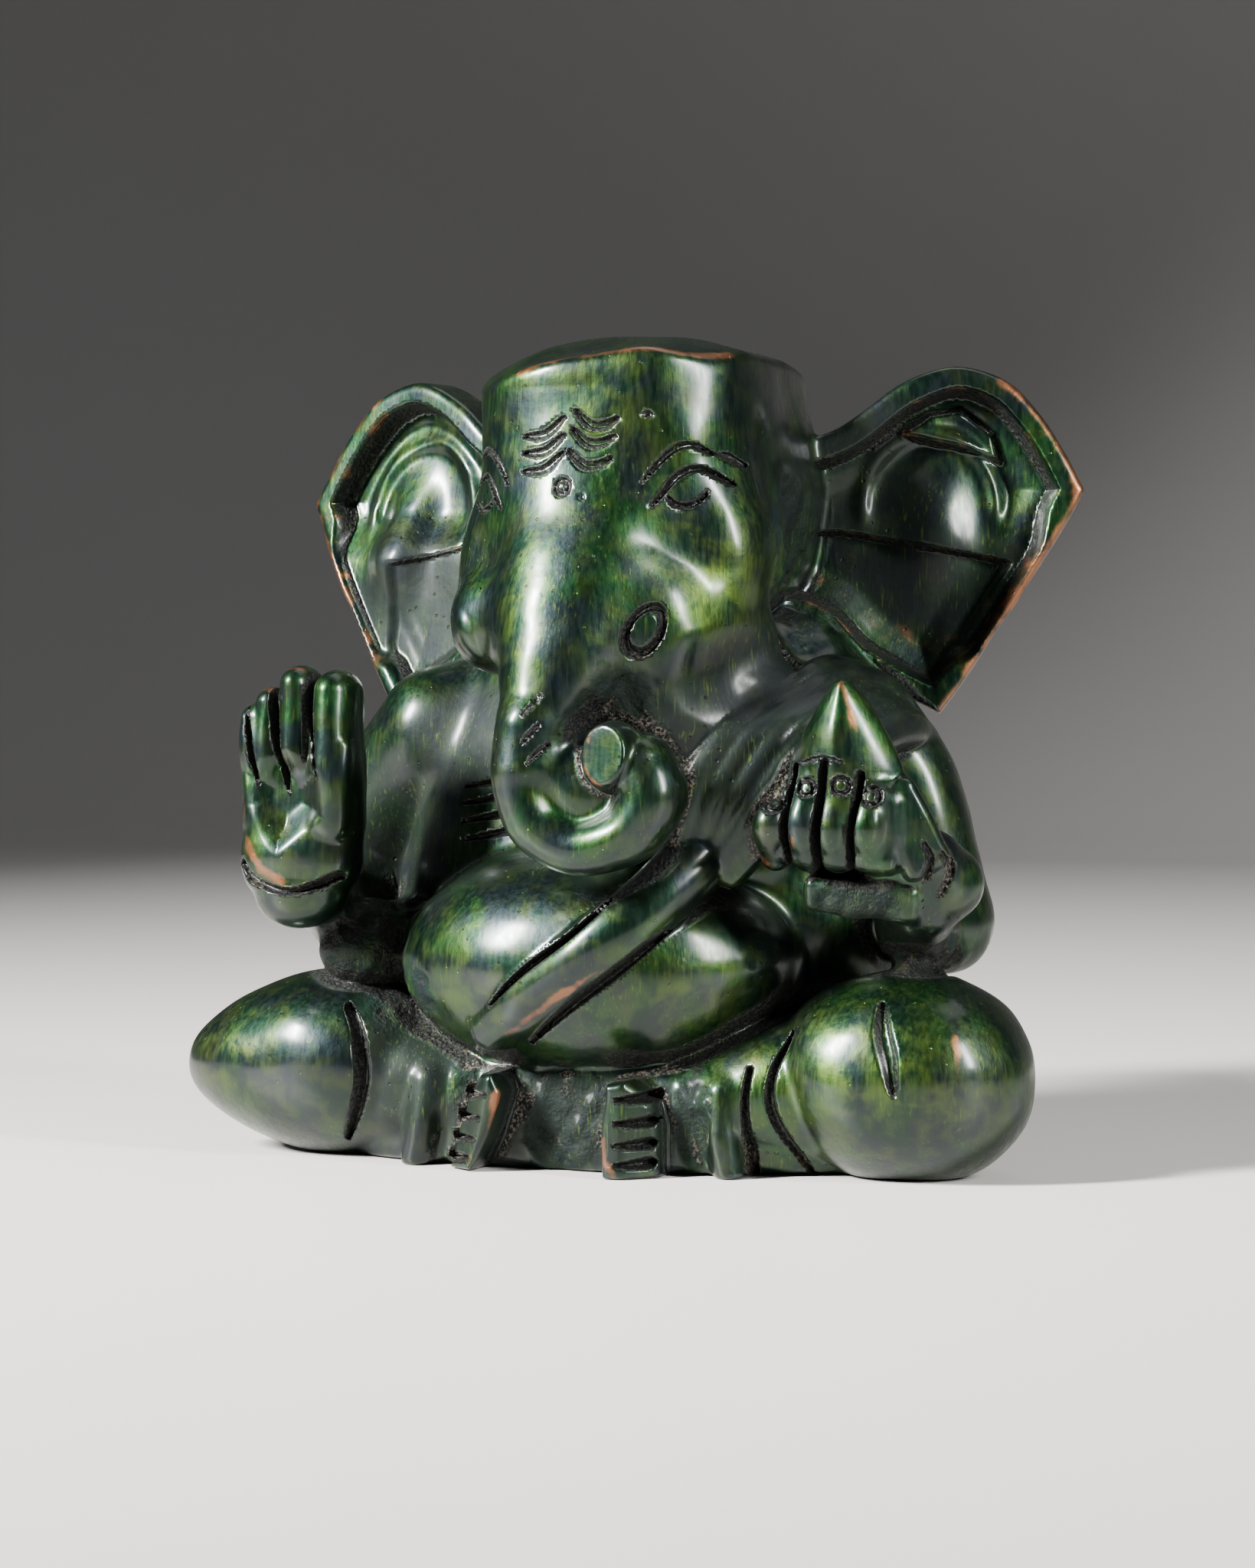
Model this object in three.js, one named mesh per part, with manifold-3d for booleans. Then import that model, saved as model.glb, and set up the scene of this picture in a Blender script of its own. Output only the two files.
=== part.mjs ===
// A seated elephant-headed idol, sand-cast in brass in one pour and finished with a green patina.
// The founder models it in wax as separate masses that are pressed together before moulding, and each
// of those masses is one named solid here. Millimetres, +Z up. The figure faces -Y, and "right" and
// "left" are its own, so its right hand lies on the -X side.
import * as THREE from "three";
import { mergeVertices } from "three/addons/utils/BufferGeometryUtils.js";
import Module from "manifold-3d";

const wasm = await Module();
wasm.setup();

// ---- driving dimensions ----
const GAP = 0.3; // left between neighbours, because separate solids may not overlap
const SLIVER = 0.005; // detail smaller than this is dropped from a cut
const SIDES = 14; // facets round a limb
const ROWS = 9; // rings along a limb
const FLOOR = 400; // side of the block that trims everything flat at z = 0

const KNEE_REACH = 62; // middle of the figure to the tip of a knee
const KNEE_HEIGHT = 27;
const KNEE_DOME = 8.5;
const FRONT_OF_FEET = -34;
const TOE_HEIGHT = 14;
const SHIN_DEPTH = 33; // front to back of a folded leg
const SLAB_HALF_WIDTH = 42;
const SLAB_FRONT = -28;
const SLAB_BACK = 24;
const SLAB_HEIGHT = 15;
const SLAB_CORNER = 14; // how far its front corners are rounded along the front edge
const SLAB_BEVEL = 1.5;
const BELLY = { x: -1, y: -14, z: 27.5, rx: 28, ry: 22, rz: 16.5 };
const SHOULDER_Z = 62;
const SHOULDER_X = 31;
const ELBOW_X = 47;
const CROWN_Z = 115.5;
const CROWN_DOME = 4.5;
const BROW_Z = 96;
const HEAD_HALF_WIDTH = 24;
const FOREHEAD_Y = -29;
const NAPE_Y = 26;
const TRUNK_Y = -37.5; // centre line of the hanging trunk
const TRUNK_R = 4.6;
const EAR_ROOT_X = 20;
const EAR_ROOT_Y = 5;
const EAR_SWEEP_DEG = 20; // how far an ear turns back from the figure's side-to-side line
const EAR_THICK = 9;
const EAR_CUP_DEPTH = 5;
const EAR_RIM = 0.8; // the cup's outline as a share of the ear's
const EAR_EDGE = 1.2; // bevel round an ear
const CUP_X = 20; // the point of an ear that its cup's outline is shrunk towards
const CUP_Z = 89;
const HAND_Y = -29;
const FINGER_R = 2.5;
const BRACELET_WIDTH = 3;
const MODAK_X = 39;
const MODAK_Z = 52;
const RIGHT_WRIST = [-41, -24, 36.5];
const LEFT_WRIST = [49, -21, 39];

// ---- solids ----
const Z_UP = new THREE.Vector3(0, 0, 1);
const Y_BACK = new THREE.Vector3(0, 1, 0);
const X_SIDE = new THREE.Vector3(1, 0, 0);

// A closed three.js geometry as a solid. A profile that was drawn downwards comes out inside out, and
// turning every triangle round puts that right.
function solid(geometry) {
  const bare = geometry.clone();
  for (const name of ["normal", "uv"]) bare.deleteAttribute(name);
  const merged = mergeVertices(bare, 1e-4);
  const vertProperties = new Float32Array(merged.attributes.position.array);
  const triVerts = new Uint32Array(merged.index.array);
  const made = new wasm.Manifold(new wasm.Mesh({ numProp: 3, vertProperties, triVerts }));
  if (made.volume() > 0) return made;
  triVerts.reverse();
  return new wasm.Manifold(new wasm.Mesh({ numProp: 3, vertProperties, triVerts }));
}

// The largest body of a solid as a three.js geometry, without the slivers that cuts leave along an edge.
function geometryOf(made) {
  const body = made
    .decompose()
    .sort((a, b) => b.volume() - a.volume())[0]
    .simplify(SLIVER);
  const { vertProperties, triVerts } = body.getMesh();
  const geometry = new THREE.BufferGeometry();
  geometry.setAttribute("position", new THREE.BufferAttribute(vertProperties, 3));
  geometry.setIndex(new THREE.BufferAttribute(triVerts, 1));
  geometry.computeVertexNormals();
  return geometry;
}

function join(...solids) {
  return solids.reduce((sum, next) => sum.add(next));
}

function ellipsoid({ at, radii, turn = [0, 0, 0] }, grow = 0) {
  const geometry = new THREE.SphereGeometry(1, SIDES + 4, ROWS + 2);
  geometry.scale(...radii.map((r) => r + grow));
  const place = new THREE.Matrix4().makeRotationFromEuler(
    new THREE.Euler(...turn.map(THREE.MathUtils.degToRad)),
  );
  return solid(geometry.applyMatrix4(place.setPosition(...at)));
}

// A round-ended limb along a smooth curve. A radius is one number, or a pair: across up, and along up.
// The direction up is never parallel to the path. A dome is how far a round end stands out.
function limb({ path, radii, domes = [], up = Y_BACK, sides = SIDES, rows = ROWS }, grow = 0) {
  const curve = new THREE.CatmullRomCurve3(path.map((p) => new THREE.Vector3(...p)));
  const length = curve.getLength();
  const pair = (r) => (Array.isArray(r) ? r : [r, r]);
  const last = radii.length - 1;
  const radiusAt = (t) => {
    const k = Math.min(Math.floor(t * last), last - 1);
    const [a, b] = [pair(radii[k]), pair(radii[k + 1])];
    return [0, 1].map((i) => THREE.MathUtils.lerp(a[i], b[i], t * last - k));
  };
  const caps = [0, 1].map((end) => domes[end] ?? Math.min(...radiusAt(end)));
  const geometry = new THREE.SphereGeometry(1, sides, rows);
  const spots = geometry.attributes.position;
  const v = new THREE.Vector3();
  for (let i = 0; i < spots.count; i++) {
    v.fromBufferAttribute(spots, i);
    const share = (1 - THREE.MathUtils.clamp(v.y, -1, 1)) / 2;
    const s = share * (length + caps[0] + caps[1]) - caps[0];
    const u = THREE.MathUtils.clamp(s / length, 0, 1);
    const past = s < 0 ? s / caps[0] : s > length ? (s - length) / caps[1] : 0;
    const dome = Math.sqrt(Math.max(0, 1 - past * past));
    const along = curve.getTangentAt(u);
    const centre = curve.getPointAt(u);
    centre.addScaledVector(along, past * (caps[s < 0 ? 0 : 1] + grow));
    const side = new THREE.Vector3().crossVectors(along, up).normalize();
    const rise = new THREE.Vector3().crossVectors(side, along);
    const [a, b] = radiusAt(curve.getUtoTmapping(u));
    const ring = Math.hypot(v.x, v.z) || 1;
    centre.addScaledVector(side, (v.x / ring) * (a + grow) * dome);
    centre.addScaledVector(rise, (v.z / ring) * (b + grow) * dome);
    spots.setXYZ(i, centre.x, centre.y, centre.z);
  }
  return solid(geometry);
}

// An outline drawn in X and Z, extruded back from the plane y = front, with rounded edges.
function plate({ outline, front, thick, bevel = 0, place }) {
  const geometry = new THREE.ExtrudeGeometry(outline, {
    depth: thick - 2 * bevel,
    bevelEnabled: bevel > 0,
    bevelSize: bevel,
    bevelThickness: bevel,
    bevelOffset: -bevel,
    bevelSegments: 1,
    curveSegments: 4,
  });
  geometry.rotateX(Math.PI / 2);
  geometry.translate(0, front + thick - bevel, 0);
  return solid(geometry.applyMatrix4(place));
}

// ---- legs, feet and the ground between them ----
// The slab's outline is drawn from above, and it is extruded up from the floor.
function baseSlab() {
  const outline = new THREE.Shape();
  outline.moveTo(-SLAB_HALF_WIDTH + SLAB_CORNER, SLAB_FRONT);
  outline.lineTo(SLAB_HALF_WIDTH - SLAB_CORNER, SLAB_FRONT);
  outline.quadraticCurveTo(SLAB_HALF_WIDTH, SLAB_FRONT, SLAB_HALF_WIDTH, -6);
  outline.bezierCurveTo(SLAB_HALF_WIDTH, 12, 34, SLAB_BACK, 0, SLAB_BACK);
  outline.bezierCurveTo(-34, SLAB_BACK, -SLAB_HALF_WIDTH, 12, -SLAB_HALF_WIDTH, -6);
  outline.quadraticCurveTo(-SLAB_HALF_WIDTH, SLAB_FRONT, -SLAB_HALF_WIDTH + SLAB_CORNER, SLAB_FRONT);
  const geometry = new THREE.ExtrudeGeometry(outline, {
    depth: SLAB_HEIGHT - 2 * SLAB_BEVEL,
    bevelSize: SLAB_BEVEL,
    bevelThickness: SLAB_BEVEL,
    bevelOffset: -SLAB_BEVEL,
    bevelSegments: 1,
    curveSegments: 5,
  });
  return solid(geometry.translate(0, 0, SLAB_BEVEL));
}

function leg(side) {
  return (grow) =>
    limb(
      {
        path: [
          [side * (KNEE_REACH - KNEE_DOME), -16, KNEE_HEIGHT / 2 - 1],
          [side * 43, -16, KNEE_HEIGHT / 2 - 1],
          [side * 30, -17, KNEE_HEIGHT / 2 - 2],
          [side * 18, -20, KNEE_HEIGHT / 2 - 5],
        ],
        radii: [
          [12, 11.5],
          [SHIN_DEPTH / 2, KNEE_HEIGHT / 2 + 1],
          [SHIN_DEPTH / 2 - 2, KNEE_HEIGHT / 2],
          [10, 9],
        ],
        domes: [KNEE_DOME],
        up: Z_UP,
      },
      grow,
    );
}

function pleat(side) {
  return (grow) =>
    limb(
      {
        path: [
          [side * 19, -29, 13],
          [side * 22, -30, 7],
          [side * 24, -30, 2],
        ],
        radii: [[1.6, 2.5], [3.2, 3], [3.6, 3]],
        sides: 12,
        rows: 8,
      },
      grow,
    );
}

function foot(side) {
  return (grow) =>
    limb(
      {
        path: [
          [side * 9.5, FRONT_OF_FEET + 5.5, TOE_HEIGHT - 3],
          [side * 11, FRONT_OF_FEET + 4.5, 6],
          [side * 12, FRONT_OF_FEET + 4, 1],
        ],
        radii: [[2.4, 4], [3.4, 4.5], [3.2, 4.2]],
        sides: 14,
        rows: 10,
      },
      grow,
    );
}

// ---- body ----
function torso(grow) {
  return limb(
    {
      path: [
        [0, 2, SLAB_HEIGHT + 3],
        [0, 3, 34],
        [0, 2, 50],
        [0, 3, SHOULDER_Z],
        [0, 5, 70],
      ],
      radii: [[40, 22], [39, 21], [35, 20], [33, 18], [24, 14]],
      domes: [2, 4],
      rows: 14,
    },
    grow,
  );
}

function belly(grow) {
  return ellipsoid(
    { at: [BELLY.x, BELLY.y, BELLY.z], radii: [BELLY.rx, BELLY.ry, BELLY.rz] },
    grow,
  );
}

function sash(grow) {
  return limb(
    {
      path: [
        [-11, -31, 18],
        [-3, -35, 23.5],
        [6, -35.5, 29.5],
        [13.5, -31.5, 36],
        [18, -25, 44],
      ],
      radii: [3.4, 3.4, 3.3, 3.2, 3],
      sides: 12,
      rows: 16,
    },
    grow,
  );
}

function shoulderDrape(grow) {
  return limb(
    {
      path: [
        [19, -21.5, 48],
        [26, -19, 58],
        [30, -9, 65],
        [31, 4, 65.5],
      ],
      radii: [[3, 4], [3.4, 6], [3, 7.5], [3, 7]],
      up: X_SIDE,
      sides: 14,
    },
    grow,
  );
}

// ---- head ----
function head(grow) {
  return limb(
    {
      path: [
        [0, -3, 70],
        [0, -3, 82],
        [0, -2, BROW_Z],
        [0, -1, 105],
        [1, -1, CROWN_Z - CROWN_DOME],
      ],
      radii: [
        [16, 19],
        [HEAD_HALF_WIDTH - 3, 24],
        [HEAD_HALF_WIDTH, (NAPE_Y - FOREHEAD_Y) / 2],
        [HEAD_HALF_WIDTH - 0.5, 26],
        [HEAD_HALF_WIDTH - 7, 19],
      ],
      domes: [6, CROWN_DOME],
      rows: 14,
      sides: 20,
    },
    grow,
  );
}

function trunk(grow) {
  return limb(
    {
      path: [
        [-1, FOREHEAD_Y, 88],
        [-1.5, -33, 76],
        [-2.2, TRUNK_Y, 62],
        [-1.3, TRUNK_Y, 51],
        [5.5, TRUNK_Y, 45.2],
        [13, TRUNK_Y, 47.5],
        [15, TRUNK_Y, 53.5],
        [10.5, TRUNK_Y - 0.5, 56.5],
      ],
      radii: [11.5, 9.5, 6.2, TRUNK_R, TRUNK_R, TRUNK_R, 4.4, 3.4],
      rows: 22,
      sides: 12,
    },
    grow,
  );
}

function tusk(side) {
  return (grow) =>
    limb(
      {
        path: [
          [side * 9, -27, 76],
          [side * 10.5, -30, 72.5],
        ],
        radii: [3, 2.2],
        up: X_SIDE,
        sides: 12,
        rows: 8,
      },
      grow,
    );
}

function throat(grow) {
  return ellipsoid({ at: [2, -14, 66], radii: [19, 15, 12] }, grow);
}

// One ear's outline, in the ear's own plane: X from its root outwards, Z up.
function earOutline() {
  const outline = new THREE.Shape();
  outline.moveTo(-6, 76);
  outline.lineTo(-6, 98);
  outline.quadraticCurveTo(3, 101, 8, 105);
  outline.bezierCurveTo(16, 113, 30, 115, 36, 105);
  outline.quadraticCurveTo(41, 98, 43.5, 92.5);
  outline.quadraticCurveTo(37, 78, 21, 61.2);
  outline.quadraticCurveTo(8, 64, 2, 73);
  outline.quadraticCurveTo(-2, 76, -6, 76);
  return outline;
}

function ear(side) {
  const turned = new THREE.Matrix4()
    .makeTranslation(EAR_ROOT_X, EAR_ROOT_Y, 0)
    .multiply(new THREE.Matrix4().makeRotationZ(THREE.MathUtils.degToRad(EAR_SWEEP_DEG)));
  const cupCentre = new THREE.Vector2(CUP_X, CUP_Z);
  const cupPoints = earOutline()
    .getPoints(4)
    .map((p) => p.sub(cupCentre).multiplyScalar(EAR_RIM).add(cupCentre));
  return () => {
    const shell = plate({
      outline: earOutline(),
      front: 0,
      thick: EAR_THICK,
      bevel: EAR_EDGE,
      place: turned,
    });
    const cup = plate({
      outline: new THREE.Shape(cupPoints),
      front: -EAR_THICK,
      thick: EAR_THICK + EAR_CUP_DEPTH,
      place: turned,
    });
    const made = shell.subtract(cup);
    return side > 0 ? made : made.mirror([1, 0, 0]);
  };
}

// ---- arms ----
function upperArm(side) {
  return (grow) =>
    limb(
      {
        path: [
          [side * SHOULDER_X, 3, SHOULDER_Z - 4.5],
          [side * 39.5, 3.5, 47],
          [side * (ELBOW_X - 2), 3, 34],
        ],
        radii: [8.5, 7.8, 7.5],
        rows: 12,
      },
      grow,
    );
}

function forearm(side, wrist) {
  return (grow) =>
    limb(
      {
        path: [[side * ELBOW_X, 0, 31], [side * 46, -12, 32.5], wrist],
        radii: [6.5, 6, 5.4],
        up: Z_UP,
        rows: 12,
      },
      grow,
    );
}

// A bracelet lies on the wrist, square to the line from the wrist to the hand.
function bracelet(at, towards, radius) {
  const axis = new THREE.Vector3(...towards).sub(new THREE.Vector3(...at)).normalize();
  const turn = new THREE.Quaternion().setFromUnitVectors(Z_UP, axis);
  return (grow) => {
    const band = new THREE.CylinderGeometry(radius + grow, radius + grow, BRACELET_WIDTH + 2 * grow, SIDES);
    band.rotateX(Math.PI / 2);
    return solid(band.applyQuaternion(turn).translate(...at));
  };
}

// The right hand is raised, palm to the front, with its thumb against the palm.
function raisedHand(grow) {
  const palm = ellipsoid({ at: [-40.5, HAND_Y, 48], radii: [9.2, 5, 9.5] }, grow);
  const tops = [62, 66, 66, 63];
  const fingers = tops.map((top, i) => {
    const x = -46.2 + i * 4;
    return limb(
      {
        path: [[x * 0.55 - 18, HAND_Y, 47], [x, HAND_Y + 0.5, 56], [x + 0.6, HAND_Y + 1.5, top]],
        radii: [FINGER_R, FINGER_R, FINGER_R - 0.3],
        sides: 8,
        rows: 6,
      },
      grow,
    );
  });
  const thumb = limb(
    { path: [[-35, HAND_Y, 46], [-33, HAND_Y - 1, 55]], radii: [3, 2], sides: 8, rows: 6 },
    grow,
  );
  return join(palm, ...fingers, thumb);
}

// The left hand's fingers curl up in front of the sweet that it holds.
function holdingHand(grow) {
  const palm = ellipsoid({ at: [41, HAND_Y + 4, 42], radii: [10.5, 7, 7.5] }, grow);
  const fingers = [0, 1, 2, 3].map((i) => {
    const x = 30 + i * 4.6;
    return limb(
      {
        path: [[x + 1, HAND_Y - 1, 43], [x, HAND_Y - 2.5, 48], [x + 0.6, HAND_Y - 1, 53]],
        radii: [FINGER_R, FINGER_R, FINGER_R - 0.4],
        sides: 8,
        rows: 6,
      },
      grow,
    );
  });
  return join(palm, ...fingers);
}

// The sweet is a pointed drop, wide at the fingers.
function modak(grow) {
  const profile = [
    [0, -4 - grow],
    [6, -3 - grow],
    [7.6 + grow, 0],
    [6.4 + grow, 5],
    [4 + grow, 9],
    [1.8 + grow, 12],
    [0, 14.5 + grow],
  ].map(([r, h]) => new THREE.Vector2(r, h));
  const geometry = new THREE.LatheGeometry(profile, SIDES);
  geometry.rotateX(Math.PI / 2);
  return solid(geometry.translate(MODAK_X, HAND_Y + 1, MODAK_Z));
}

// ---- the figure ----
const GREEN = { color: 0x1f3d24, roughness: 0.32, metalness: 0.85 };
const DARK = { color: 0x23282a, roughness: 0.55, metalness: 0.7 };
const BRIGHT = { color: 0x4a6a2e, roughness: 0.28, metalness: 0.9 };

// Where two masses meet, the one listed first keeps its shape and the later one is cut to fit it.
const MASSES = [
  ["trunk", GREEN, trunk],
  ["right_tusk", BRIGHT, tusk(-1)],
  ["left_tusk", BRIGHT, tusk(1)],
  ["head", GREEN, head],
  ["sash", BRIGHT, sash],
  ["belly", GREEN, belly],
  ["right_foot", GREEN, foot(-1)],
  ["left_foot", GREEN, foot(1)],
  ["right_pleat", DARK, pleat(-1)],
  ["left_pleat", DARK, pleat(1)],
  ["right_leg", GREEN, leg(-1)],
  ["left_leg", GREEN, leg(1)],
  ["right_hand", GREEN, raisedHand],
  ["left_hand", GREEN, holdingHand],
  ["modak", BRIGHT, modak],
  ["right_bracelet", DARK, bracelet([-40.6, -26.5, 38.5], [-40.5, HAND_Y, 48], 6.8)],
  ["left_bracelet", DARK, bracelet([48.5, -21.5, 39.5], [41, HAND_Y + 4, 42], 6.6)],
  ["right_forearm", GREEN, forearm(-1, RIGHT_WRIST)],
  ["left_forearm", GREEN, forearm(1, LEFT_WRIST)],
  ["shoulder_drape", DARK, shoulderDrape],
  ["right_upper_arm", GREEN, upperArm(-1)],
  ["left_upper_arm", GREEN, upperArm(1)],
  ["throat", DARK, throat],
  ["torso", GREEN, torso],
  ["right_ear", GREEN, ear(-1)],
  ["left_ear", GREEN, ear(1)],
  ["base_slab", DARK, baseSlab],
];

function figure() {
  const group = new THREE.Group();
  const floor = solid(new THREE.BoxGeometry(FLOOR, FLOOR, FLOOR).translate(0, 0, -FLOOR / 2));
  const done = [];
  for (const [name, look, build] of MASSES) {
    const made = done.reduce((left, cutter) => left.subtract(cutter), build(0).subtract(floor));
    const mesh = new THREE.Mesh(geometryOf(made), new THREE.MeshStandardMaterial(look));
    mesh.name = name;
    group.add(mesh);
    done.push(build(GAP));
  }
  const box = new THREE.Box3().setFromObject(group);
  const centre = box.getCenter(new THREE.Vector3());
  group.position.set(-centre.x, -centre.y, -box.min.z);
  return group;
}

export default figure();
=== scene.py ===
"""A seated elephant-headed idol, cast in brass with a green patina, sculpted round its CAD frame.

Every mass of the figure is a distance function, in millimetres: negative inside the metal. The masses run
softly into one another and are engraved, and the surface is meshed with one closed piece for each CAD node.
The figure has its own millimetres: it faces -Y, its right hand is at -X and it stands at Z 0. A shape is a
distance function with the lowest and highest corners of its box.
"""
from concurrent.futures import ThreadPoolExecutor

import bpy
import numpy as np
from mathutils import Matrix, Vector


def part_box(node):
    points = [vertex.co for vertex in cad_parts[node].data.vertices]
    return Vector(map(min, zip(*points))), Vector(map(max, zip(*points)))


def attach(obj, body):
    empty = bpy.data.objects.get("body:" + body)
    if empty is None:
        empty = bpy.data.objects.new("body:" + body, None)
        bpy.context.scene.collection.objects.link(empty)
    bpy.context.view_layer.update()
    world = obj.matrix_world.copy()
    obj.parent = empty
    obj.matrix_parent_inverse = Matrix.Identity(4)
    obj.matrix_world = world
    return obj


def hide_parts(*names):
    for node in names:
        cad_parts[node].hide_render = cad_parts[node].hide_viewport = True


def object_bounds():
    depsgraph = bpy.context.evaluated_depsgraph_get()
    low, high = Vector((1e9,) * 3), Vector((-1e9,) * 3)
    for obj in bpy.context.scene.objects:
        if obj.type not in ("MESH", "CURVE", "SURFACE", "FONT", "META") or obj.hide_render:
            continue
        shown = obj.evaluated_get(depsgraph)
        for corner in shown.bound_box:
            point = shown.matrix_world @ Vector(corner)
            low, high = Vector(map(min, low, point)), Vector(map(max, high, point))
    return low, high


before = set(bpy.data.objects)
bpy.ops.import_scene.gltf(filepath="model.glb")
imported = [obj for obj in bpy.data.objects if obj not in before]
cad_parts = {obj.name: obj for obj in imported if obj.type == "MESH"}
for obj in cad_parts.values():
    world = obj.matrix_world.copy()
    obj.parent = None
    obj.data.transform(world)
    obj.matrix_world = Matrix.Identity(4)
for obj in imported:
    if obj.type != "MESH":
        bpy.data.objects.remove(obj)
cad_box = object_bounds()

MM = 0.001

SLAB_MIDDLE = -2  # Y of the middle of the base slab, in the figure's own millimetres
slab_low, slab_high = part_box("base_slab")
SHIFT = np.array([0, (slab_low.y + slab_high.y) / 2 / MM - SLAB_MIDDLE, 0])


# ---------------- distance functions
FAR = 5.5  # a distance larger than this is never needed
LIMB_SPANS = 4  # straight spans of a limb's first guess between two of its points
TINY = 1e-9


def spline(points, steps):
    """A smooth line through the points, with so many steps between each two."""
    p = np.asarray(points, float)
    p = np.vstack([2 * p[0] - p[1], p, 2 * p[-1] - p[-2]])
    t = (np.arange(steps) / steps)[:, None]
    spans = []
    for a, b, c, d in zip(p[:-3], p[1:-2], p[2:-1], p[3:]):
        spans.append(b + 0.5 * t * (c - a + t * (2 * a - 5 * b + 4 * c - d + t * (3 * b - 3 * c + d - a))))
    return np.vstack(spans + [p[-2:-1]])


def smooth_min(a, b, k):
    h = np.clip(0.5 + 0.5 * (b - a) / k, 0, 1)
    return b + (a - b) * h - k * h * (1 - h)


def smooth_max(a, b, k):
    return -smooth_min(-a, -b, k)


def ramp(x, low, high):
    t = np.clip((x - low) / (high - low), 0, 1)
    return t * t * (3 - 2 * t)


def turned(degrees):
    """The matrix of a turn about X, then Y, then Z."""
    x, y, z = np.radians(degrees)
    rx = np.array([[1, 0, 0], [0, np.cos(x), -np.sin(x)], [0, np.sin(x), np.cos(x)]])
    ry = np.array([[np.cos(y), 0, np.sin(y)], [0, 1, 0], [-np.sin(y), 0, np.cos(y)]])
    rz = np.array([[np.cos(z), -np.sin(z), 0], [np.sin(z), np.cos(z), 0], [0, 0, 1]])
    return rz @ ry @ rx


def ellipsoid(at, radii, turn=(0, 0, 0)):
    at, radii, way = np.asarray(at, float), np.asarray(radii, float), turned(turn)
    reach = np.sqrt(((way * radii) ** 2).sum(1))

    def distance(p):
        q = (p - at) @ way / radii
        near = np.linalg.norm(q, axis=1) + TINY
        return near * (near - 1) / (np.linalg.norm(q / radii, axis=1) + TINY)

    return distance, at - reach, at + reach


def block(at, half, edge, turn=(0, 0, 0)):
    """A box with rounded edges."""
    at, half, way = np.asarray(at, float), np.asarray(half, float), turned(turn)
    reach = np.abs(way) @ half

    def distance(p):
        q = np.abs((p - at) @ way) - (half - edge)
        return np.linalg.norm(np.maximum(q, 0), axis=1) + np.minimum(q.max(1), 0) - edge

    return distance, at - reach, at + reach


def limb(path, radii, stretch=(1, 1, 1)):
    """A round-ended limb along a smooth line. Stretch widens its section along X, Y or Z."""
    stretch = np.asarray(stretch, float)
    knots = np.column_stack([np.asarray(path, float) / stretch, radii])
    line = spline(knots, LIMB_SPANS)
    low = (line[:, :3] - line[:, 3:]).min(0) * stretch
    high = (line[:, :3] + line[:, 3:]).max(0) * stretch
    ends = np.vstack([2 * knots[0] - knots[1], knots, 2 * knots[-1] - knots[-2]])
    a, b, c, d = ends[:-3], ends[1:-2], ends[2:-1], ends[3:]
    terms = np.stack([b, (c - a) / 2, (2 * a - 5 * b + 4 * c - d) / 2, (3 * b - 3 * c + d - a) / 2])
    starts, ways = line[:-1, :3], np.diff(line[:, :3], axis=0)
    lengths = (ways**2).sum(1) + TINY

    def curve(place):
        """The point and radius at places along the line, and how they change."""
        span = np.minimum(place.astype(int), len(knots) - 2)
        t = (place - span)[:, None]
        k = terms[:, span]
        at = k[0] + t * (k[1] + t * (k[2] + t * k[3]))
        return at, k[1] + t * (2 * k[2] + 3 * t * k[3]), 2 * k[2] + 6 * t * k[3]

    def distance(p):
        q = p / stretch
        best = np.full(len(q), np.inf)
        place = np.zeros(len(q))
        for i, (start, way, length) in enumerate(zip(starts, ways, lengths)):
            t = np.clip((q - start) @ way / length, 0, 1)
            off = ((q - start - t[:, None] * way) ** 2).sum(1)
            off = np.sqrt(off) - line[i, 3] - t * (line[i + 1, 3] - line[i, 3])
            closer = off < best
            best[closer] = off[closer]
            place[closer] = (i + t[closer]) / LIMB_SPANS
        for _ in range(2):
            at, step, bend = curve(place)
            gap = q - at[:, :3]
            reach = np.linalg.norm(gap, axis=1) + TINY
            pull = (gap * step[:, :3]).sum(1) + step[:, 3] * reach
            stiff = (step[:, :3] ** 2).sum(1) - (gap * bend[:, :3]).sum(1)
            nearer = place + np.clip(pull / np.maximum(stiff, 1), -0.25, 0.25)
            place = np.clip(nearer, 0, len(knots) - 1)
        at = curve(place)[0]
        return (np.linalg.norm(q - at[:, :3], axis=1) - at[:, 3]) * stretch.min()

    return distance, low, high


def loft(rows, power, top=None, round_top=3.0):
    """Sections stacked up Z. A row is height, middle X, half width, front Y, back Y. Top, if given, is the
    height of the top surface at X and Y."""
    rows = np.array(rows, float)
    fine = spline(rows, 6)
    low = np.array([(rows[:, 1] - rows[:, 2]).min(), rows[:, 3].min(), rows[0, 0]])
    high = np.array([(rows[:, 1] + rows[:, 2]).max(), rows[:, 4].max(), rows[-1, 0] + 2])

    def distance(p):
        middle, half, front, back = (np.interp(p[:, 2], fine[:, 0], fine[:, i]) for i in range(1, 5))
        deep = (back - front) / 2
        x = np.abs(p[:, 0] - middle) / half + 1e-6
        y = np.abs(p[:, 1] - (front + back) / 2) / deep + 1e-6
        rho = (x**power + y**power) ** (1 / power)
        slope = np.hypot((x / rho) ** (power - 1) / half, (y / rho) ** (power - 1) / deep)
        side = (rho - 1) / slope
        ends = rows[0, 0] - p[:, 2]
        over = p[:, 2] - (top(p[:, 0], p[:, 1]) if top else rows[-1, 0])
        return smooth_max(smooth_max(side, over, round_top), ends, 2.0)

    return distance, low, high


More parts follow.
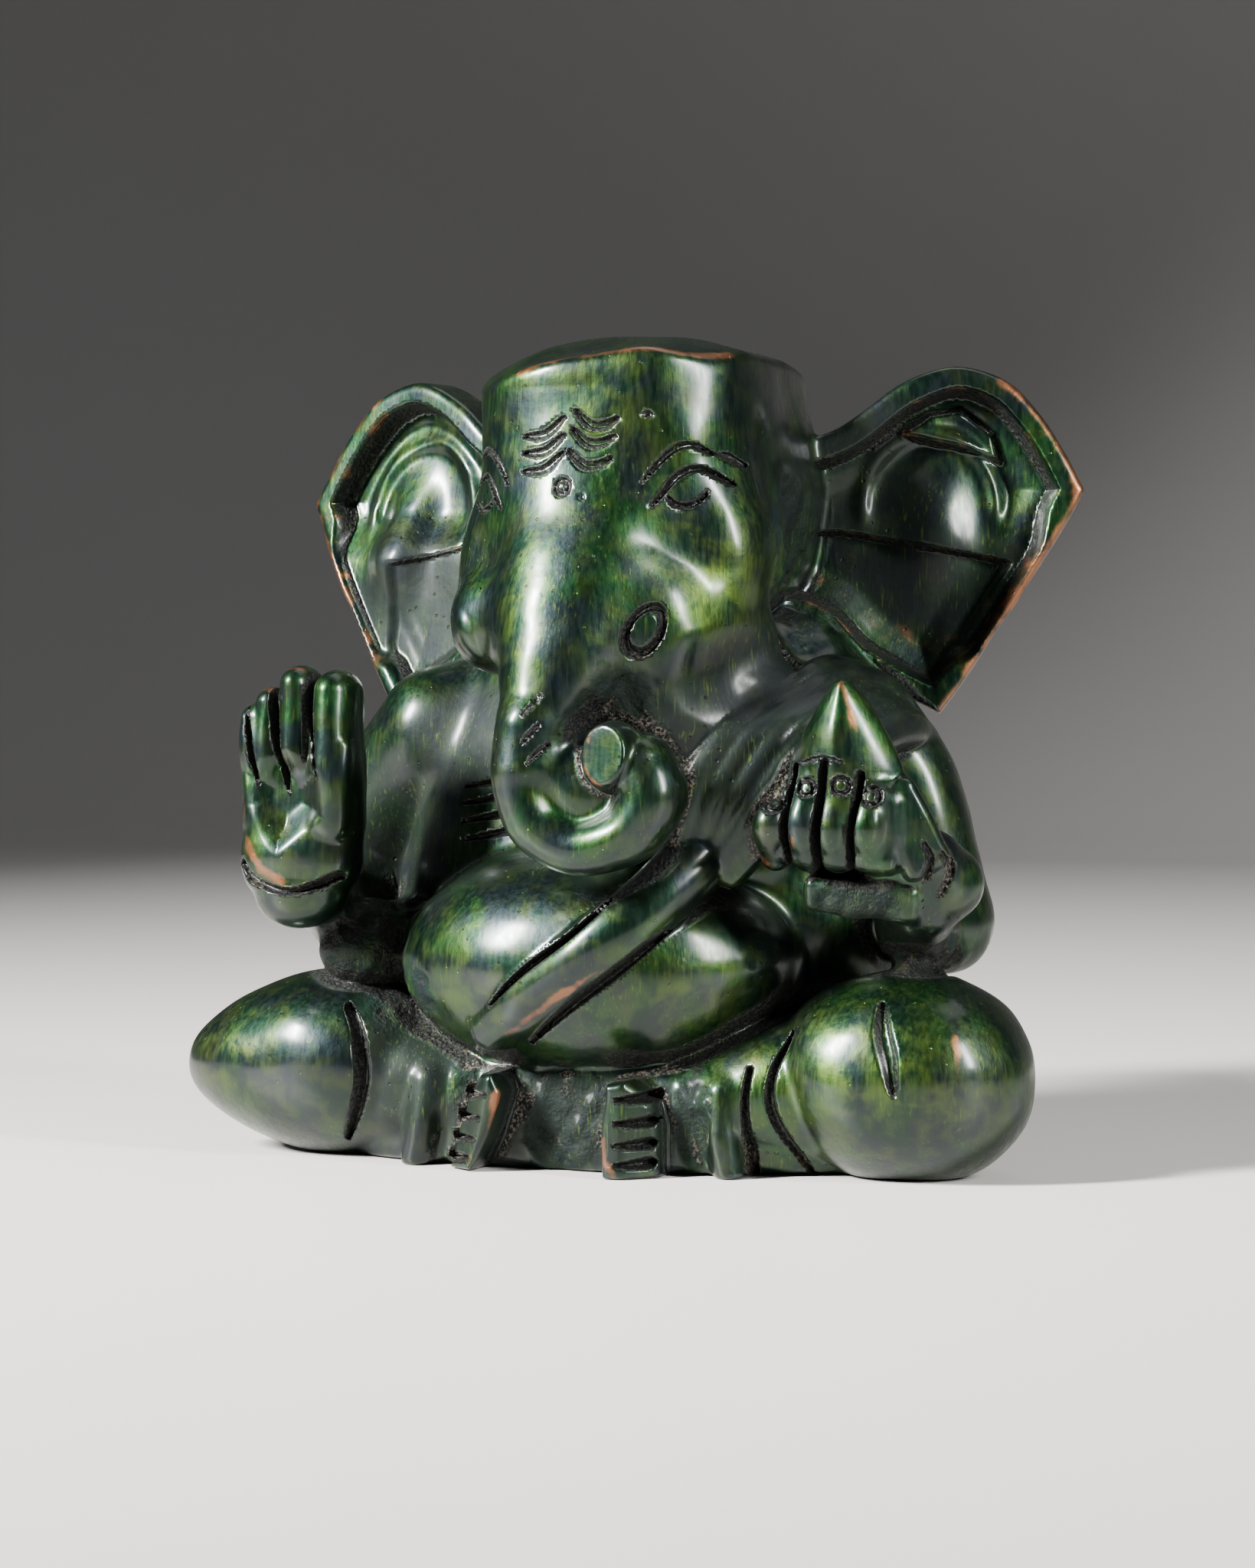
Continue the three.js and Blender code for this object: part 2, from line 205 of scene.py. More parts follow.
def line_distance(line, p):
    """Distance from points to a line of straight spans."""
    best = np.full(len(p), np.inf)
    for a, b in zip(line[:-1], line[1:]):
        along = b - a
        t = np.clip((p - a) @ along / (along @ along + TINY), 0, 1)
        best = np.minimum(best, ((p - a - t[:, None] * along) ** 2).sum(1))
    return np.sqrt(best)


def outline_distance(outline, p):
    """Distance from 2-D points to a closed outline, negative inside."""
    closed = np.vstack([outline, outline[:1]])
    inside = np.zeros(len(p), bool)
    for a, b in zip(closed[:-1], closed[1:]):
        along = b - a
        over = (a[1] > p[:, 1]) != (b[1] > p[:, 1])
        if along[1]:
            inside ^= over & (p[:, 0] < a[0] + (p[:, 1] - a[1]) * along[0] / along[1])
    return np.where(inside, -1, 1) * line_distance(closed, p)


def tabled(make, low, high, step):
    """A function of two coordinates, kept on a fine grid and read off it smoothly."""
    count = np.ceil((np.array(high) - low) / step).astype(int) + 2
    grid = np.meshgrid(*[low[i] + step * np.arange(count[i]) for i in (0, 1)], indexing="ij")
    values = make(np.column_stack([line.ravel() for line in grid])).reshape(count)

    def read(u, v):
        x = np.clip((u - low[0]) / step, 0, count[0] - 1.001)
        y = np.clip((v - low[1]) / step, 0, count[1] - 1.001)
        i, j = x.astype(int), y.astype(int)
        fx, fy = x - i, y - j
        near = values[i, j] * (1 - fy) + values[i, j + 1] * fy
        far = values[i + 1, j] * (1 - fy) + values[i + 1, j + 1] * fy
        return near * (1 - fx) + far * fx

    return read


def lumps(p, size, seed, waves=14):
    """Smooth random swelling, about -1 to 1, with lumps of about the given size."""
    draw = np.random.default_rng(seed)
    total = np.zeros(len(p))
    for _ in range(waves):
        way = draw.normal(size=3)
        way *= 2 * np.pi / (size * 2.2) / np.linalg.norm(way) * draw.uniform(0.6, 1.5)
        total += np.sin(p @ way + draw.uniform(0, 2 * np.pi))
    return total / np.sqrt(waves)


# ---------------- head
def crown(x, y):
    """Height of the top of the head: a low dome with a shoulder along its front edge."""
    dome = 113.9 - 0.010 * (x - 4) ** 2 - 0.009 * np.maximum(y, 0) ** 2 - 1.4 * ramp(x, -8, -20)
    edge = 4.2 - 1.6 * np.exp(-(((x - 10) / 6) ** 2)) + 2.2 * ramp(x, 15, 23)
    return dome - edge * (1 - ramp(y, -27, -12))


def head_shapes():
    skull = loft(
        [
            (64, 3, 10, -12, 8),
            (70, 3, 13, -16, 15),
            (76, 2.6, 16.5, -20, 20),
            (82, 2.3, 19.5, -23.5, 24),
            (88, 2.0, 20.0, -25, 25),
            (95, 1.9, 20.2, -26.5, 26),
            (102, 1.9, 20.1, -27.5, 26),
            (108, 1.6, 19.8, -27.5, 25),
            (112, 1.6, 19.2, -26, 23),
            (118, 1.4, 17, -23, 20),
        ],
        3.0,
        top=crown,
        round_top=1.3,
    )
    skull = sliced(skull, (17.9, -22.2, 99.5), (0.70, -0.70, 0.13), 0.8)
    back = ellipsoid((2.4, 6, 92), (21.2, 21, 22))
    left_cheek = ellipsoid((16.0, -15, 82.5), (7.5, 9, 9.5), (0, 0, 20))
    right_cheek = ellipsoid((-12.5, -15.5, 82.5), (6.5, 9, 9.5), (0, 0, -20))
    return [(skull, 1), (back, 3), (left_cheek, 10), (right_cheek, 7)]


def sliced(shape, at, facing, edge):
    """A shape cut flat at a point, with the flat side facing a direction."""
    whole, low, high = shape
    way = np.asarray(facing, float) / np.linalg.norm(facing)

    def distance(p):
        return smooth_max(whole(p), (p - at) @ way, edge)

    return distance, low, high


def trunk_shapes():
    root = loft(
        [
            (54, -2.3, 4.0, -42.6, -33),
            (59, -1.9, 4.9, -41.9, -30),
            (65, -0.4, 6.8, -40.6, -25),
            (72, 0.8, 9.6, -38.8, -17),
            (80, 0.8, 12.0, -36.0, -8),
            (90, 0.9, 14.2, -31.6, 2),
            (99, 1, 15, -27.6, 6),
            (106, 1, 14, -24, 6),
        ],
        2.15,
    )
    hanging = limb(
        [(-1.9, -36.9, 60), (-2.4, -38, 52.5), (0, -38, 46.9), (5.5, -38, 44.4),
         (12, -37.6, 46.4), (14.8, -36.8, 51), (13.2, -36.6, 55)],
        [4.7, 4.2, 3.9, 3.7, 4.1, 4.7, 4.6],
        (1, 1.2, 1),
    )
    tip = ellipsoid((10.2, -38.8, 56.3), (4.1, 6.2, 4.8), (0, 8, 0))
    tip = sliced(tip, (9.9, -42.2, 56.3), (-0.28, -1, 0.12), 0.3)
    return [(root, 6), (hanging, 1.6), (tip, 0.6)]


def tusk_shapes(side):
    middle = 1.5 if side > 0 else -2.5
    socket = ellipsoid((middle + side * 10.4, -24.6, 73.6), (4.4, 5.2, 5.4), (15, 0, side * 20))
    tusk = ellipsoid((middle + side * 10.9, -28.2, 72.9), (2.2, 2.6, 3.9), (15, side * 22, side * 20))
    if side > 0:
        tusk = sliced(tusk, (12.4, -30.2, 72.8), (0.1, -1, -0.1), 0.3)
    return [(socket, 8), (tusk, 0.4)]


def throat_shapes():
    neck = ellipsoid((4, -11, 66), (19, 14, 12))
    slope_down = ellipsoid((13, -13.5, 57), (19, 12, 18), (10, 0, 10))
    beside_trunk = ellipsoid((8.5, -22, 64), (9.5, 9.5, 12), (10, 0, 0))
    eddy = ellipsoid((5.5, -35.0, 51.3), (7, 5.4, 6.5))
    return [(neck, 3), (slope_down, 6), (beside_trunk, 8), (eddy, 4)]


# ---------------- body
def torso_shapes():
    chest = limb(
        [(0, 2, 17), (0, 2, 34), (0, 2, 50), (0, 2, 60), (0, 3, 66)],
        [20, 20, 18, 15, 11],
        (1.85, 1, 1),
    )
    nape = ellipsoid((1, 6, 68), (30, 13, 12))
    web = ellipsoid((-34.5, -13, 28.5), (7.5, 12, 6.5))
    return [(chest, 3), (nape, 4), (web, 4)]


def belly_shapes():
    return [(ellipsoid((-1, -14, 27.5), (28, 22, 16.5)), 2.0)]


def upper_arm_shapes(side):
    tuck = 1.6 if side > 0 else 0
    shoulder, elbow = (side * 31, 1, 59), (side * (45.6 - tuck), 0, 33)
    between = [(side * (38.6 - tuck * 0.4), 2, 50.5), (side * (43.6 - tuck), 2, 40)]
    arm = limb([shoulder, *between, elbow], [9.5, 8.2, 7.2, 6.4])
    return [(arm, 4)]


def forearm_shapes(side):
    right = [(-44, 1, 35), (-43.5, -11, 35.5), (-40.5, -24, 38)]
    left = [(44.5, 1, 33), (43.5, -11, 33), (47, -20, 37)]
    arm = limb(right if side < 0 else left, [6.4, 5.2, 5.2])
    return [(arm, 3)]


def bracelet_shapes(side):
    if side < 0:
        band = limb([(-44, -28, 38.5), (-38, -28, 38)], [3.4, 3.4], (1, 1.5, 0.6))
    else:
        band = limb([(48.5, -22, 42), (49, -21, 39)], [4.6, 4.6])
    return [(band, 0.6)]


# ---------------- ears
EAR_SPLAY = np.radians(18)
EAR_TILT = 0.167  # how far an ear leans back for each step up
EAR_MIDDLE = 87  # the height about which it leans
EAR_THICK = 8.3
EAR_ROOT = (20, 5, 0)  # where its plane starts, on the left side
EAR_TABLE = (-14, 52), (50, 118)  # corners of the tables that cover its plane
FLAP = [(16.5, 101.6), (20.5, 104.2), (25, 104.8), (29.5, 101.5), (30.5, 97.5), (26, 99.4), (21, 100.2)]


def ear_outline():
    """An ear in its own plane: distance out from its root, and height. It has two corners, at its tip and at
    the bottom."""
    over = [(-8, 99), (1, 100), (8, 102.3), (16, 108.3), (24, 111.2), (31, 109.3), (35.5, 105)]
    over += [(39.2, 99.4), (42.2, 93.3)]
    down = [(42.2, 93.3), (39, 87.5), (34.6, 80.5), (28.5, 71), (25, 66), (21.6, 61.6)]
    under = [(21.6, 61.6), (15.5, 64.6), (9, 68.5), (4, 73.5), (-2, 75), (-8, 76)]
    return np.vstack([spline(run, 5)[:-1] for run in (over, down, under)] + [[(-8, 76)]])


def ear_relief(side, u, v, inward):
    """How far an ear's front lies behind its rim."""
    lower = ramp(v, 92, 84)
    rim = 3.0 - 2.0 * lower * ramp(u, 22, 27)
    if side < 0:
        rim -= 0.6 * lower * ramp(u, 22, 27)
    floor = 4.2 * ramp(inward, rim, rim + 1.6) + 1.5 * ramp(inward, rim + 1.6, 9)
    if side > 0:
        step = 87.5 - 0.18 * np.maximum(u - 8, 0)
        floor += 1.6 * ramp(v, step + 0.4, step - 0.4) * ramp(inward, 3, 5)
        flap = outline_distance(np.array(FLAP), np.column_stack([u, v]))
        floor -= 1.6 * ramp(flap, 0.7, -0.7)
        boss = np.exp(-(((u - 21.5) / 5.5) ** 2) - ((v - 89) / 9.5) ** 2)
        ring = np.hypot((u - 20.5) / 9.5, (v - 91) / 10.5)
        floor -= 3.0 * boss + 1.0 * np.exp(-(((ring - 1) / 0.13) ** 2)) * ramp(v, 86, 92)
    else:
        floor = np.where(inward < 6, floor, floor - 0.6 * ramp(inward, 6, 8))
        floor *= 1 - 0.6 * lower
        boss = np.exp(-np.abs(((u - 25.5) / 4.2)) ** 2.6 - np.abs((v - 87.5) / 8.5) ** 2.6)
        ring = np.hypot((u - 23) / 9.5, (v - 91) / 11)
        floor -= 2.6 * boss + 0.9 * np.exp(-(((ring - 1) / 0.12) ** 2)) * ramp(v, 84, 92)
        step = 84 + 0.2 * np.maximum(24 - u, 0)
        floor += 1.0 * ramp(v, step + 0.3, step - 0.5) * ramp(u, 26, 24) * ramp(inward, 2, 4)
    return floor


def ear_plane(side):
    """The root of an ear's plane, the way out along it and the way it faces."""
    out = np.array([side * np.cos(EAR_SPLAY), np.sin(EAR_SPLAY), 0])
    front = np.array([side * np.sin(EAR_SPLAY), -np.cos(EAR_SPLAY), 0])
    return np.array(EAR_ROOT) * (side, 1, 1), out, front


def ear_shapes(side):
    outline = ear_outline()
    flat = tabled(lambda p: outline_distance(outline, p), *EAR_TABLE, 0.4)
    sheet = tabled(lambda p: ear_relief(side, *p.T, -outline_distance(outline, p)), *EAR_TABLE, 0.3)
    root, out, front = ear_plane(side)

    def distance(p):
        q = p - root
        u, v = q @ out, p[:, 2]
        w = -(q @ front) - EAR_TILT * (v - EAR_MIDDLE)
        edge = flat(u, v)
        bulge = 1.5 * ramp(-edge, 0, 12)
        return smooth_max(smooth_max(edge, sheet(u, v) - w, 1.5), w - EAR_THICK - bulge, 2.2)

    corners = [
        root + out * u - front * (w + EAR_TILT * t) for u in (-8, 43) for w in (-1, 10) for t in (-27, 25)
    ]
    low, high = np.min(corners, axis=0), np.max(corners, axis=0)
    low[2], high[2] = 61, 112
    return [((distance, low, high), 1.5)]


# ---------------- legs and base
def slab_shapes():
    plate = loft([(0, 0, 42, -28, 24), (7, 0, 42, -28, 24), (14, 0, 41, -27, 23)], 2.8, round_top=3)
    return [(plate, 1)]


def leg_shapes(side):
    """The right knee runs out to a point, and the left one is fuller."""
    if side < 0:
        knee = ellipsoid((-38.2, -16, 12.6), (17.6, 14.8, 13.2))
        outside = ellipsoid((-49, -16.2, 12.2), (13.0, 11, 9.0), (0, -3, 0))
    else:
        knee = ellipsoid((42.8, -16.2, 13.2), (17.4, 15.4, 14.2))
        outside = ellipsoid((48.4, -16.2, 13.2), (11.4, 12.4, 12.0))
    path = [(side * 36, -14, 11.5), (side * 27, -16.5, 10.5), (side * 18, -18, 9)]
    shin = limb(path, [11.6 if side < 0 else 11.4, 10.2, 8.2], (1, 1.15, 1))
    return [(shin, 1), (knee, 0.7), (outside, 5 if side < 0 else 4)]


FOOT_FRONT, FOOT_BACK = -34.2, -20  # Y of the toes, and of the end that is sunk in the base


def foot_shapes(side):
    """A foot seen from its toes: the sole is turned in to the middle, and the toes lie one over another. It
    falls back behind the toes."""
    if side < 0:
        face = [(-7.8, 11), (-8.4, 8.6), (-9.6, 5), (-11.4, 1.5), (-12.6, 0), (-16.6, 0), (-15.4, 5)]
        face += [(-13.2, 10), (-11, 13.2), (-9, 13.4)]
        ridge = -10.6
    else:
        face = [(7.1, 12.6), (7.0, 6), (7.2, 0), (13.6, 0), (13.4, 7), (12.4, 11), (10, 13)]
        ridge = 9.6
    face = np.array(face)

    def distance(p):
        shape = outline_distance(face, p[:, [0, 2]])
        lean = 0.22 * (8 - p[:, 2]) if side < 0 else 0
        beyond = side * (p[:, 0] - ridge) - lean
        front = FOOT_FRONT - p[:, 1] + 0.85 * smooth_max(beyond, 0 * beyond, 0.6)
        return smooth_max(smooth_max(shape, front * 0.8, 1), p[:, 1] - FOOT_BACK, 1)

    low = np.array([face[:, 0].min(), FOOT_FRONT - 0.8, 0])
    high = np.array([face[:, 0].max(), FOOT_BACK, 13.5])
    return [((distance, low, high), 0.7)]


def pleat_shapes(side):
    path = [(side * 21.2, -25.4, 11), (side * 21.6, -26, 6), (side * 22.6, -26, 0.5)]
    return [(limb(path, [2.3, 2.7, 2.8], (0.9, 1.3, 1)), 1.4)]


# ---------------- cloth
def sash_shapes():
    path = [(-9.8, -30.4, 19.6), (-3, -33.2, 24.4), (6, -33.8, 30.6), (13, -29.8, 37)]
    path += [(17.5, -23, 43.5), (20, -15, 50)]
    return [(limb(path, [3.4, 4.1, 4.2, 4.4, 4.8, 5]), 0.7)]


FOLDS = 6


def drape_shapes():
    """Folds that fan out from the top of the sash up to the shoulder."""
    folds = []
    for i in range(FOLDS):
        path = [
            (15.5 + i * 1.2, -27 + i * 0.7, 43.5 - i * 0.6),
            (17 + i * 2.9, -26.5 + i * 1.1, 51.5),
            (21.5 + i * 3.1, -22 + i * 1.2, 60 - i * 0.6),
            (28 + i * 2.3, -11 + i * 1.2, 66.5 - i * 1.4),
            (31 + i * 1.8, 3, 67 - i * 1.8),
        ]
        folds.append((limb(path, [2.2, 2.6, 2.8, 2.9, 2.4]), 0.5))
    return folds


# ---------------- hands
def right_hand_shapes():
    palm = block((-39.9, -27, 46.5), (8.3, 5.6, 9.5), 4.4)
    heel = ellipsoid((-40.2, -27.5, 42), (8.2, 6, 6))
    wrist = ellipsoid((-40.2, -27, 37), (6.7, 5.8, 5.2))
    shapes = [(palm, 1), (heel, 1.5), (wrist, 1.0)]
    fingers = [(-46.4, 63.2, 2.2), (-43.9, 65.7, 2.5), (-39.7, 68.8, 3.1), (-34.2, 68.2, 3.5)]
    for x, top, radius in fingers:
        path = [(-40 + (x + 40) * 0.92, -27.5, 47), (x, -28, 56), (x, -27.5, top - radius)]
        shapes.append((limb(path, [radius, radius, radius * 0.9], (1, 1.6, 1)), 0.9))
    thumb = limb([(-33.4, -31, 46.5), (-32.9, -31.6, 52), (-32.2, -31, 57)], [1.9, 1.7, 1.2])
    shapes.append((thumb, 0.9))
    return shapes


def left_hand_shapes():
    palm = block((38.4, -25.8, 47), (8.4, 5.6, 5.6), 2.0, (0, 4, 0))
    back = block((45.8, -25.5, 46.8), (3.4, 4.4, 6.4), 1.4, (0, -28, 34))
    shapes = [(palm, 1), (back, 1.0)]
    columns = [(30.5, 29.2, 49.5), (34.7, 33.8, 52.9), (39.4, 37.9, 53.2), (43.3, 42.4, 51.6)]
    for top_x, low_x, top in columns:
        path = [(low_x, -28, 43.4), (low_x + 0.2, -30.9, 47.0), (top_x, -29.4, top - 0.6)]
        shapes.append((limb(path, [2.6, 2.9, 2.6], (0.9, 1, 1)), 0.9))
    wedge = block((40, -23.5, 38), (8.0, 4.6, 2.7), 1.8, (8, 6, 8))
    wrist = limb([(44, -23, 40), (50, -19, 39.5)], [4.6, 5])
    shapes += [(wedge, 0.8), (wrist, 1.5)]
    return shapes


def modak_shapes():
    drop = loft(
        [
            (48, 38.4, 8.0, -33, -21),
            (52, 38.5, 8.0, -33, -21),
            (56, 38.5, 7.3, -33, -21.5),
            (60, 38.7, 5.3, -32.6, -23),
            (63.5, 38.8, 3.0, -31.6, -25),
            (66, 38.8, 0.9, -30.4, -27.5),
        ],
        1.5,
        round_top=0.8,
    )
    return [(drop, 0.4)]


def pair(name, shapes):
    """The mass on the right and the one on the left."""
    return [("right_" + name, shapes(-1)), ("left_" + name, shapes(1))]


MASSES = [
    ("base_slab", slab_shapes()),
    ("torso", torso_shapes()),
    ("belly", belly_shapes()),
    *pair("leg", leg_shapes),
    *pair("upper_arm", upper_arm_shapes),
    *pair("forearm", forearm_shapes),
    *pair("bracelet", bracelet_shapes),
    ("throat", throat_shapes()),
    ("head", head_shapes()),
    ("trunk", trunk_shapes()),
    *pair("tusk", tusk_shapes),
    *pair("ear", ear_shapes),
    *pair("pleat", pleat_shapes),
    *pair("foot", foot_shapes),
    ("sash", sash_shapes()),
    ("shoulder_drape", drape_shapes()),
    ("modak", modak_shapes()),
    ("right_hand", right_hand_shapes()),
    ("left_hand", left_hand_shapes()),
]


# ---------------- engraving
def groove(line, width, depth, reach=6.0, shape="leaf"):
    """A cut made from the front along a line of points. A leaf is widest half way, a wedge at its end, and a
    band all along."""
    path = spline(line, 5)
    flat = path[:, [0, 2]]
    share = np.linspace(0, 1, len(flat))
    profile = {
        "leaf": 0.35 + 0.65 * np.sin(np.pi * share) ** 0.7,
        "wedge": 0.3 + 0.7 * share,
        "band": np.ones(len(share)),
    }
    half = width / 2 * profile[shape]
    low = path.min(0) - (width, reach, width)
    high = path.max(0) + (width, reach, width)

    def carve(p, total):
        q = p[:, [0, 2]]
        best = np.full(len(q), np.inf)
        for a, b, ra, rb in zip(flat[:-1], flat[1:], half[:-1], half[1:]):
            along = b - a
            t = np.clip((q - a) @ along / (along @ along), 0, 1)
            away = np.linalg.norm(q - a - t[:, None] * along, axis=1)
            best = np.minimum(best, away / (ra + t * (rb - ra)))
        return total + depth * (1 - ramp(best, 0.1, 1.05))

    return carve, low, high


def punch(at, radii, depth, reach=6.25, ring=None, tilt=0):
    """The mark of a punch pressed in from the front: a round hollow or, where a ring's width is given, a ring
    with its middle left standing."""
    at, lean = np.asarray(at, float), np.tan(np.radians(tilt))

    def carve(p, total):
        up = p[:, 2] - at[2]
        away = np.hypot((p[:, 0] - at[0] - lean * up) / radii[0], up / radii[1])
        fade = ramp(np.abs(away - 0.7), 0, ring) if ring else ramp(away, 0.1, 1)
        return total + depth * (1 - fade)

    size = 1.25 * np.array([radii[0] + abs(lean) * radii[1], 0, radii[1]]) + (0, reach, 0)
    return carve, at - size, at + size


def eye_cuts():
    # left eye: brow, the fold beside it, upper lid and lower lid
    brow = [(10.4, -27.7, 92.8), (12.1, -27, 95.3), (14.3, -25.8, 97.4), (16.2, -25, 97.8), (18.2, -23, 96.7)]
    fold = [(18.8, -22.4, 96.9), (19.7, -21.2, 96.4), (21.2, -19, 95.2)]
    upper = [(11.6, -26.7, 89.5), (12.6, -26, 91), (14.1, -25.5, 93.3), (15.8, -24.6, 94.5)]
    upper += [(17.6, -23.5, 94.5), (20.6, -19.5, 92.6)]
    lower = [(13.4, -25.6, 90.8), (14.3, -25, 89.9), (15.7, -24, 89.6), (17.1, -23, 90.3), (18.2, -22, 91.8)]
    for line, width, depth in ((brow, 1.25, 0.8), (fold, 1.2, 0.7), (upper, 1.25, 0.85), (lower, 1.1, 0.7)):
        yield groove(line, width, depth)
    # right eye: brow, upper lid and lower lid
    brow = [(-9, -27.7, 92.8), (-10.6, -27, 95.3), (-12.8, -25.8, 97.4), (-14.7, -25, 97.6)]
    brow += [(-16.7, -21, 96.3)]
    upper = [(-10.1, -26.7, 89.5), (-11.1, -26, 91), (-12.6, -25.5, 93.3), (-14.3, -24.6, 94.3)]
    upper += [(-17.1, -21, 92.6)]
    lower = [(-11.9, -25.6, 90.8), (-12.8, -25, 89.9), (-14.2, -24, 89.6), (-16.1, -21, 91)]
    for line, width, depth in ((brow, 1.2, 0.8), (upper, 1.2, 0.85), (lower, 1.1, 0.7)):
        yield groove(line, width, depth, 9)


def face_cuts():
    # forehead: three crescents on each side, and a dot below
    for x, z in ((-6.5, 99.3), (-6.4, 97.0), (-6.4, 94.5)):
        line = [(x, -28, z), (x + 3.2, -29, z + 0.2), (x + 5.9, -29, z + 2.4)]
        yield groove(line, 2.0, 0.8)
    for x, z in ((0.9, 102.6), (0.6, 100.2), (0.3, 97.2)):
        line = [(x, -28, z), (x + 2.2, -29, z - 2.0), (x + 4.2, -29, z - 2.1), (x + 6, -28, z - 1.2)]
        yield groove(line, 2.1, 0.8)
    yield punch((-0.1, -31, 92.2), (1.4, 1.4), 0.6, ring=0.38)
    # the ring round the left tusk, two dents, and the hollow behind the left cheek
    yield punch((12.3, -30, 72.9), (2.9, 4.4), 0.8, ring=0.22, tilt=16)
    yield punch((10.7, -27.4, 101.9), (1.2, 0.8), 0.7, 6)
    yield punch((2.9, -32, 90.8), (0.6, 0.6), 0.3, 6)
    yield punch((22.5, -24, 66.5), (9, 8), 1.8, 20)
    yield from eye_cuts()
    # slash marks down the trunk
    for x, z in ((-1.4, 61.6), (-1.2, 58.0), (-0.4, 55.4)):
        yield groove([(x, -42, z), (x + 1.1, -42, z + 1.4), (x + 2.2, -42, z + 2.7)], 0.95, 0.4)


def hand_cuts():
    # right hand: the gaps between its fingers, its hollow palm and the line round its wrist
    for line, width in (
        ([(-46.9, -32, 62.5), (-46.0, -32, 57), (-44.8, -32, 52.0)], 1.1),
        ([(-43.2, -32, 66.5), (-42.1, -32, 59), (-40.4, -32, 51)], 1.5),
        ([(-37.2, -32, 68.0), (-36.8, -32, 61), (-35.2, -32, 53)], 1.3),
    ):
        yield groove(line, width, 1.3)
    hollow = [(-47.2, 54), (-46.4, 49), (-42.4, 43.4), (-41, 42.2), (-34.2, 47.8), (-34.6, 54), (-40, 57)]
    low, high = np.array([-49, -36, 41]), np.array([-33, -25, 58])

    def palm(p, total):
        away = outline_distance(np.array(hollow), p[:, [0, 2]])
        return total + 2.0 * ramp(away, 0.3, -4.5)

    yield (palm, low, high)
    wrist = [(-47, -30, 41.2), (-44.9, -32, 38.9), (-40.3, -33, 37.4), (-36.9, -32, 37.9), (-33, -30, 39.6)]
    yield groove(wrist, 1.4, 0.9, shape="band")
    # left hand: deep gaps between its fingers, a punched ring on each, and two lines round its wrist
    for line, width in (
        ([(32.4, -32, 55), (32.0, -32, 49), (31.7, -31, 41)], 1.3),
        ([(37.2, -32, 55.5), (36.5, -32, 49), (35.7, -31, 41)], 1.5),
        ([(41.8, -32, 54), (41.1, -32, 48), (40.1, -31, 41)], 1.3),
    ):
        yield groove(line, width, 2.6, shape="band")
    for x, z in ((34.6, 52.3), (39.5, 52.6), (30.2, 50.2), (43.4, 51.2)):
        yield punch((x, -33, z), (1.5, 1.5), 0.7, ring=0.3)
    yield groove([(49.3, -28, 45.2), (50.2, -27.5, 42.9), (49.0, -27, 39.9)], 1.1, 0.7, 9)
    yield groove([(51.4, -27, 44.0), (52.1, -26, 41.4), (50.4, -25, 37.6)], 1.1, 0.6, 9)
    yield groove([(33.0, -31, 55.2), (36.6, -32.4, 56.2), (39.8, -33, 55.6)], 0.9, 0.5)


def leg_cuts():
    right = [(-33.5, -26, 21.5), (-31.4, -28, 18.5), (-30.3, -29, 14.9), (-30.2, -29, 11)]
    right += [(-31.6, -28, 7), (-34, -26, 3)]
    left = [(30.6, -28, 19.5), (28.6, -29.5, 14.5), (28.5, -29.3, 9.8), (30.3, -26.7, 4.7), (32.6, -22, 0)]
    yield groove(right, 2.4, 1.4)
    yield groove(left, 1.8, 1.1)
    yield groove([(25.2, -28, 14.5), (24.9, -29, 9.6), (25.3, -29, 1)], 1.4, 1.2, shape="band")
    knee = [(43.3, -27, 23.6), (44.3, -30, 19.9), (45.4, -31, 16.8), (46.2, -31, 12.6)]
    yield groove(knee, 3.2, 1.0)
    for z in (10.6, 7.4, 4.5, 1.9):
        left = [(8.7, -34.2, z), (10, -34, z), (12.6, -31, z + 0.3)]
        yield groove(left, 2.0, 1.6, 5, "wedge")
        x = -9.8 - 0.3 * (13 - z)
        right = [(x + 0.6, -34.2, z), (x - 1, -34, z - 0.1), (x - 4, -31, z - 0.2)]
        yield groove(right, 1.9, 1.5, 5, "wedge")


def cloth_cuts():
    # the sash is drawn round with one line above and one below
    above = [(-9.0, -31, 22.6), (-3.5, -33, 27.6), (3.0, -34, 32.2), (8.5, -33, 37.0)]
    below = [(-4, -34, 17.8), (2.5, -35, 22.8), (9.5, -34, 28.0), (15, -30, 33)]
    yield groove(above, 1.5, 1.5)
    yield groove(below, 1.6, 1.4)
    # folds across the chest, left of the trunk
    for z in (51.4, 49.1, 46.6, 44.0):
        yield groove([(-22, -12, z), (-14, -15, z + 1.4), (-5, -18, z + 4)], 1.3, 0.9, 12)


# Where the metal was left as it came from the mould: middle, reach, and how uneven it is, from 0 to 1
ROUGH = [
    ((-1, -28, 7), (7, 8, 8), 0.6),
    ((8, -30, 64), (6, 9, 6), 0.5),
    ((-25, -26, 23), (8, 10, 6), 0.6),
    ((30, -24, 31), (7, 8, 5), 0.6),
    ((-15.5, -30, 11), (2.5, 6, 7), 0.5),
    ((17.5, -28, 8), (3, 6, 8), 0.6),
    ((40, -24, 37.5), (8, 8, 4), 0.7),
    ((-33, -16, 30), (9, 14, 7), 0.8),
    ((45, -12, 29), (9, 9, 4), 0.8),
    ((25, -2, 84), (5, 14, 12), 0.7),
]
UNEVEN = 0.27  # depth of the unevenness where it is greatest, in millimetres
UNEVEN_LUMPS = [(3.4, 5, 14), (1.5, 8, 24)]  # width of its lumps, seed, waves
SWELLS = [(0.20, 10, 3), (0.07, 4.5, 4)]  # depth of the gentle waves over the whole figure, width, seed


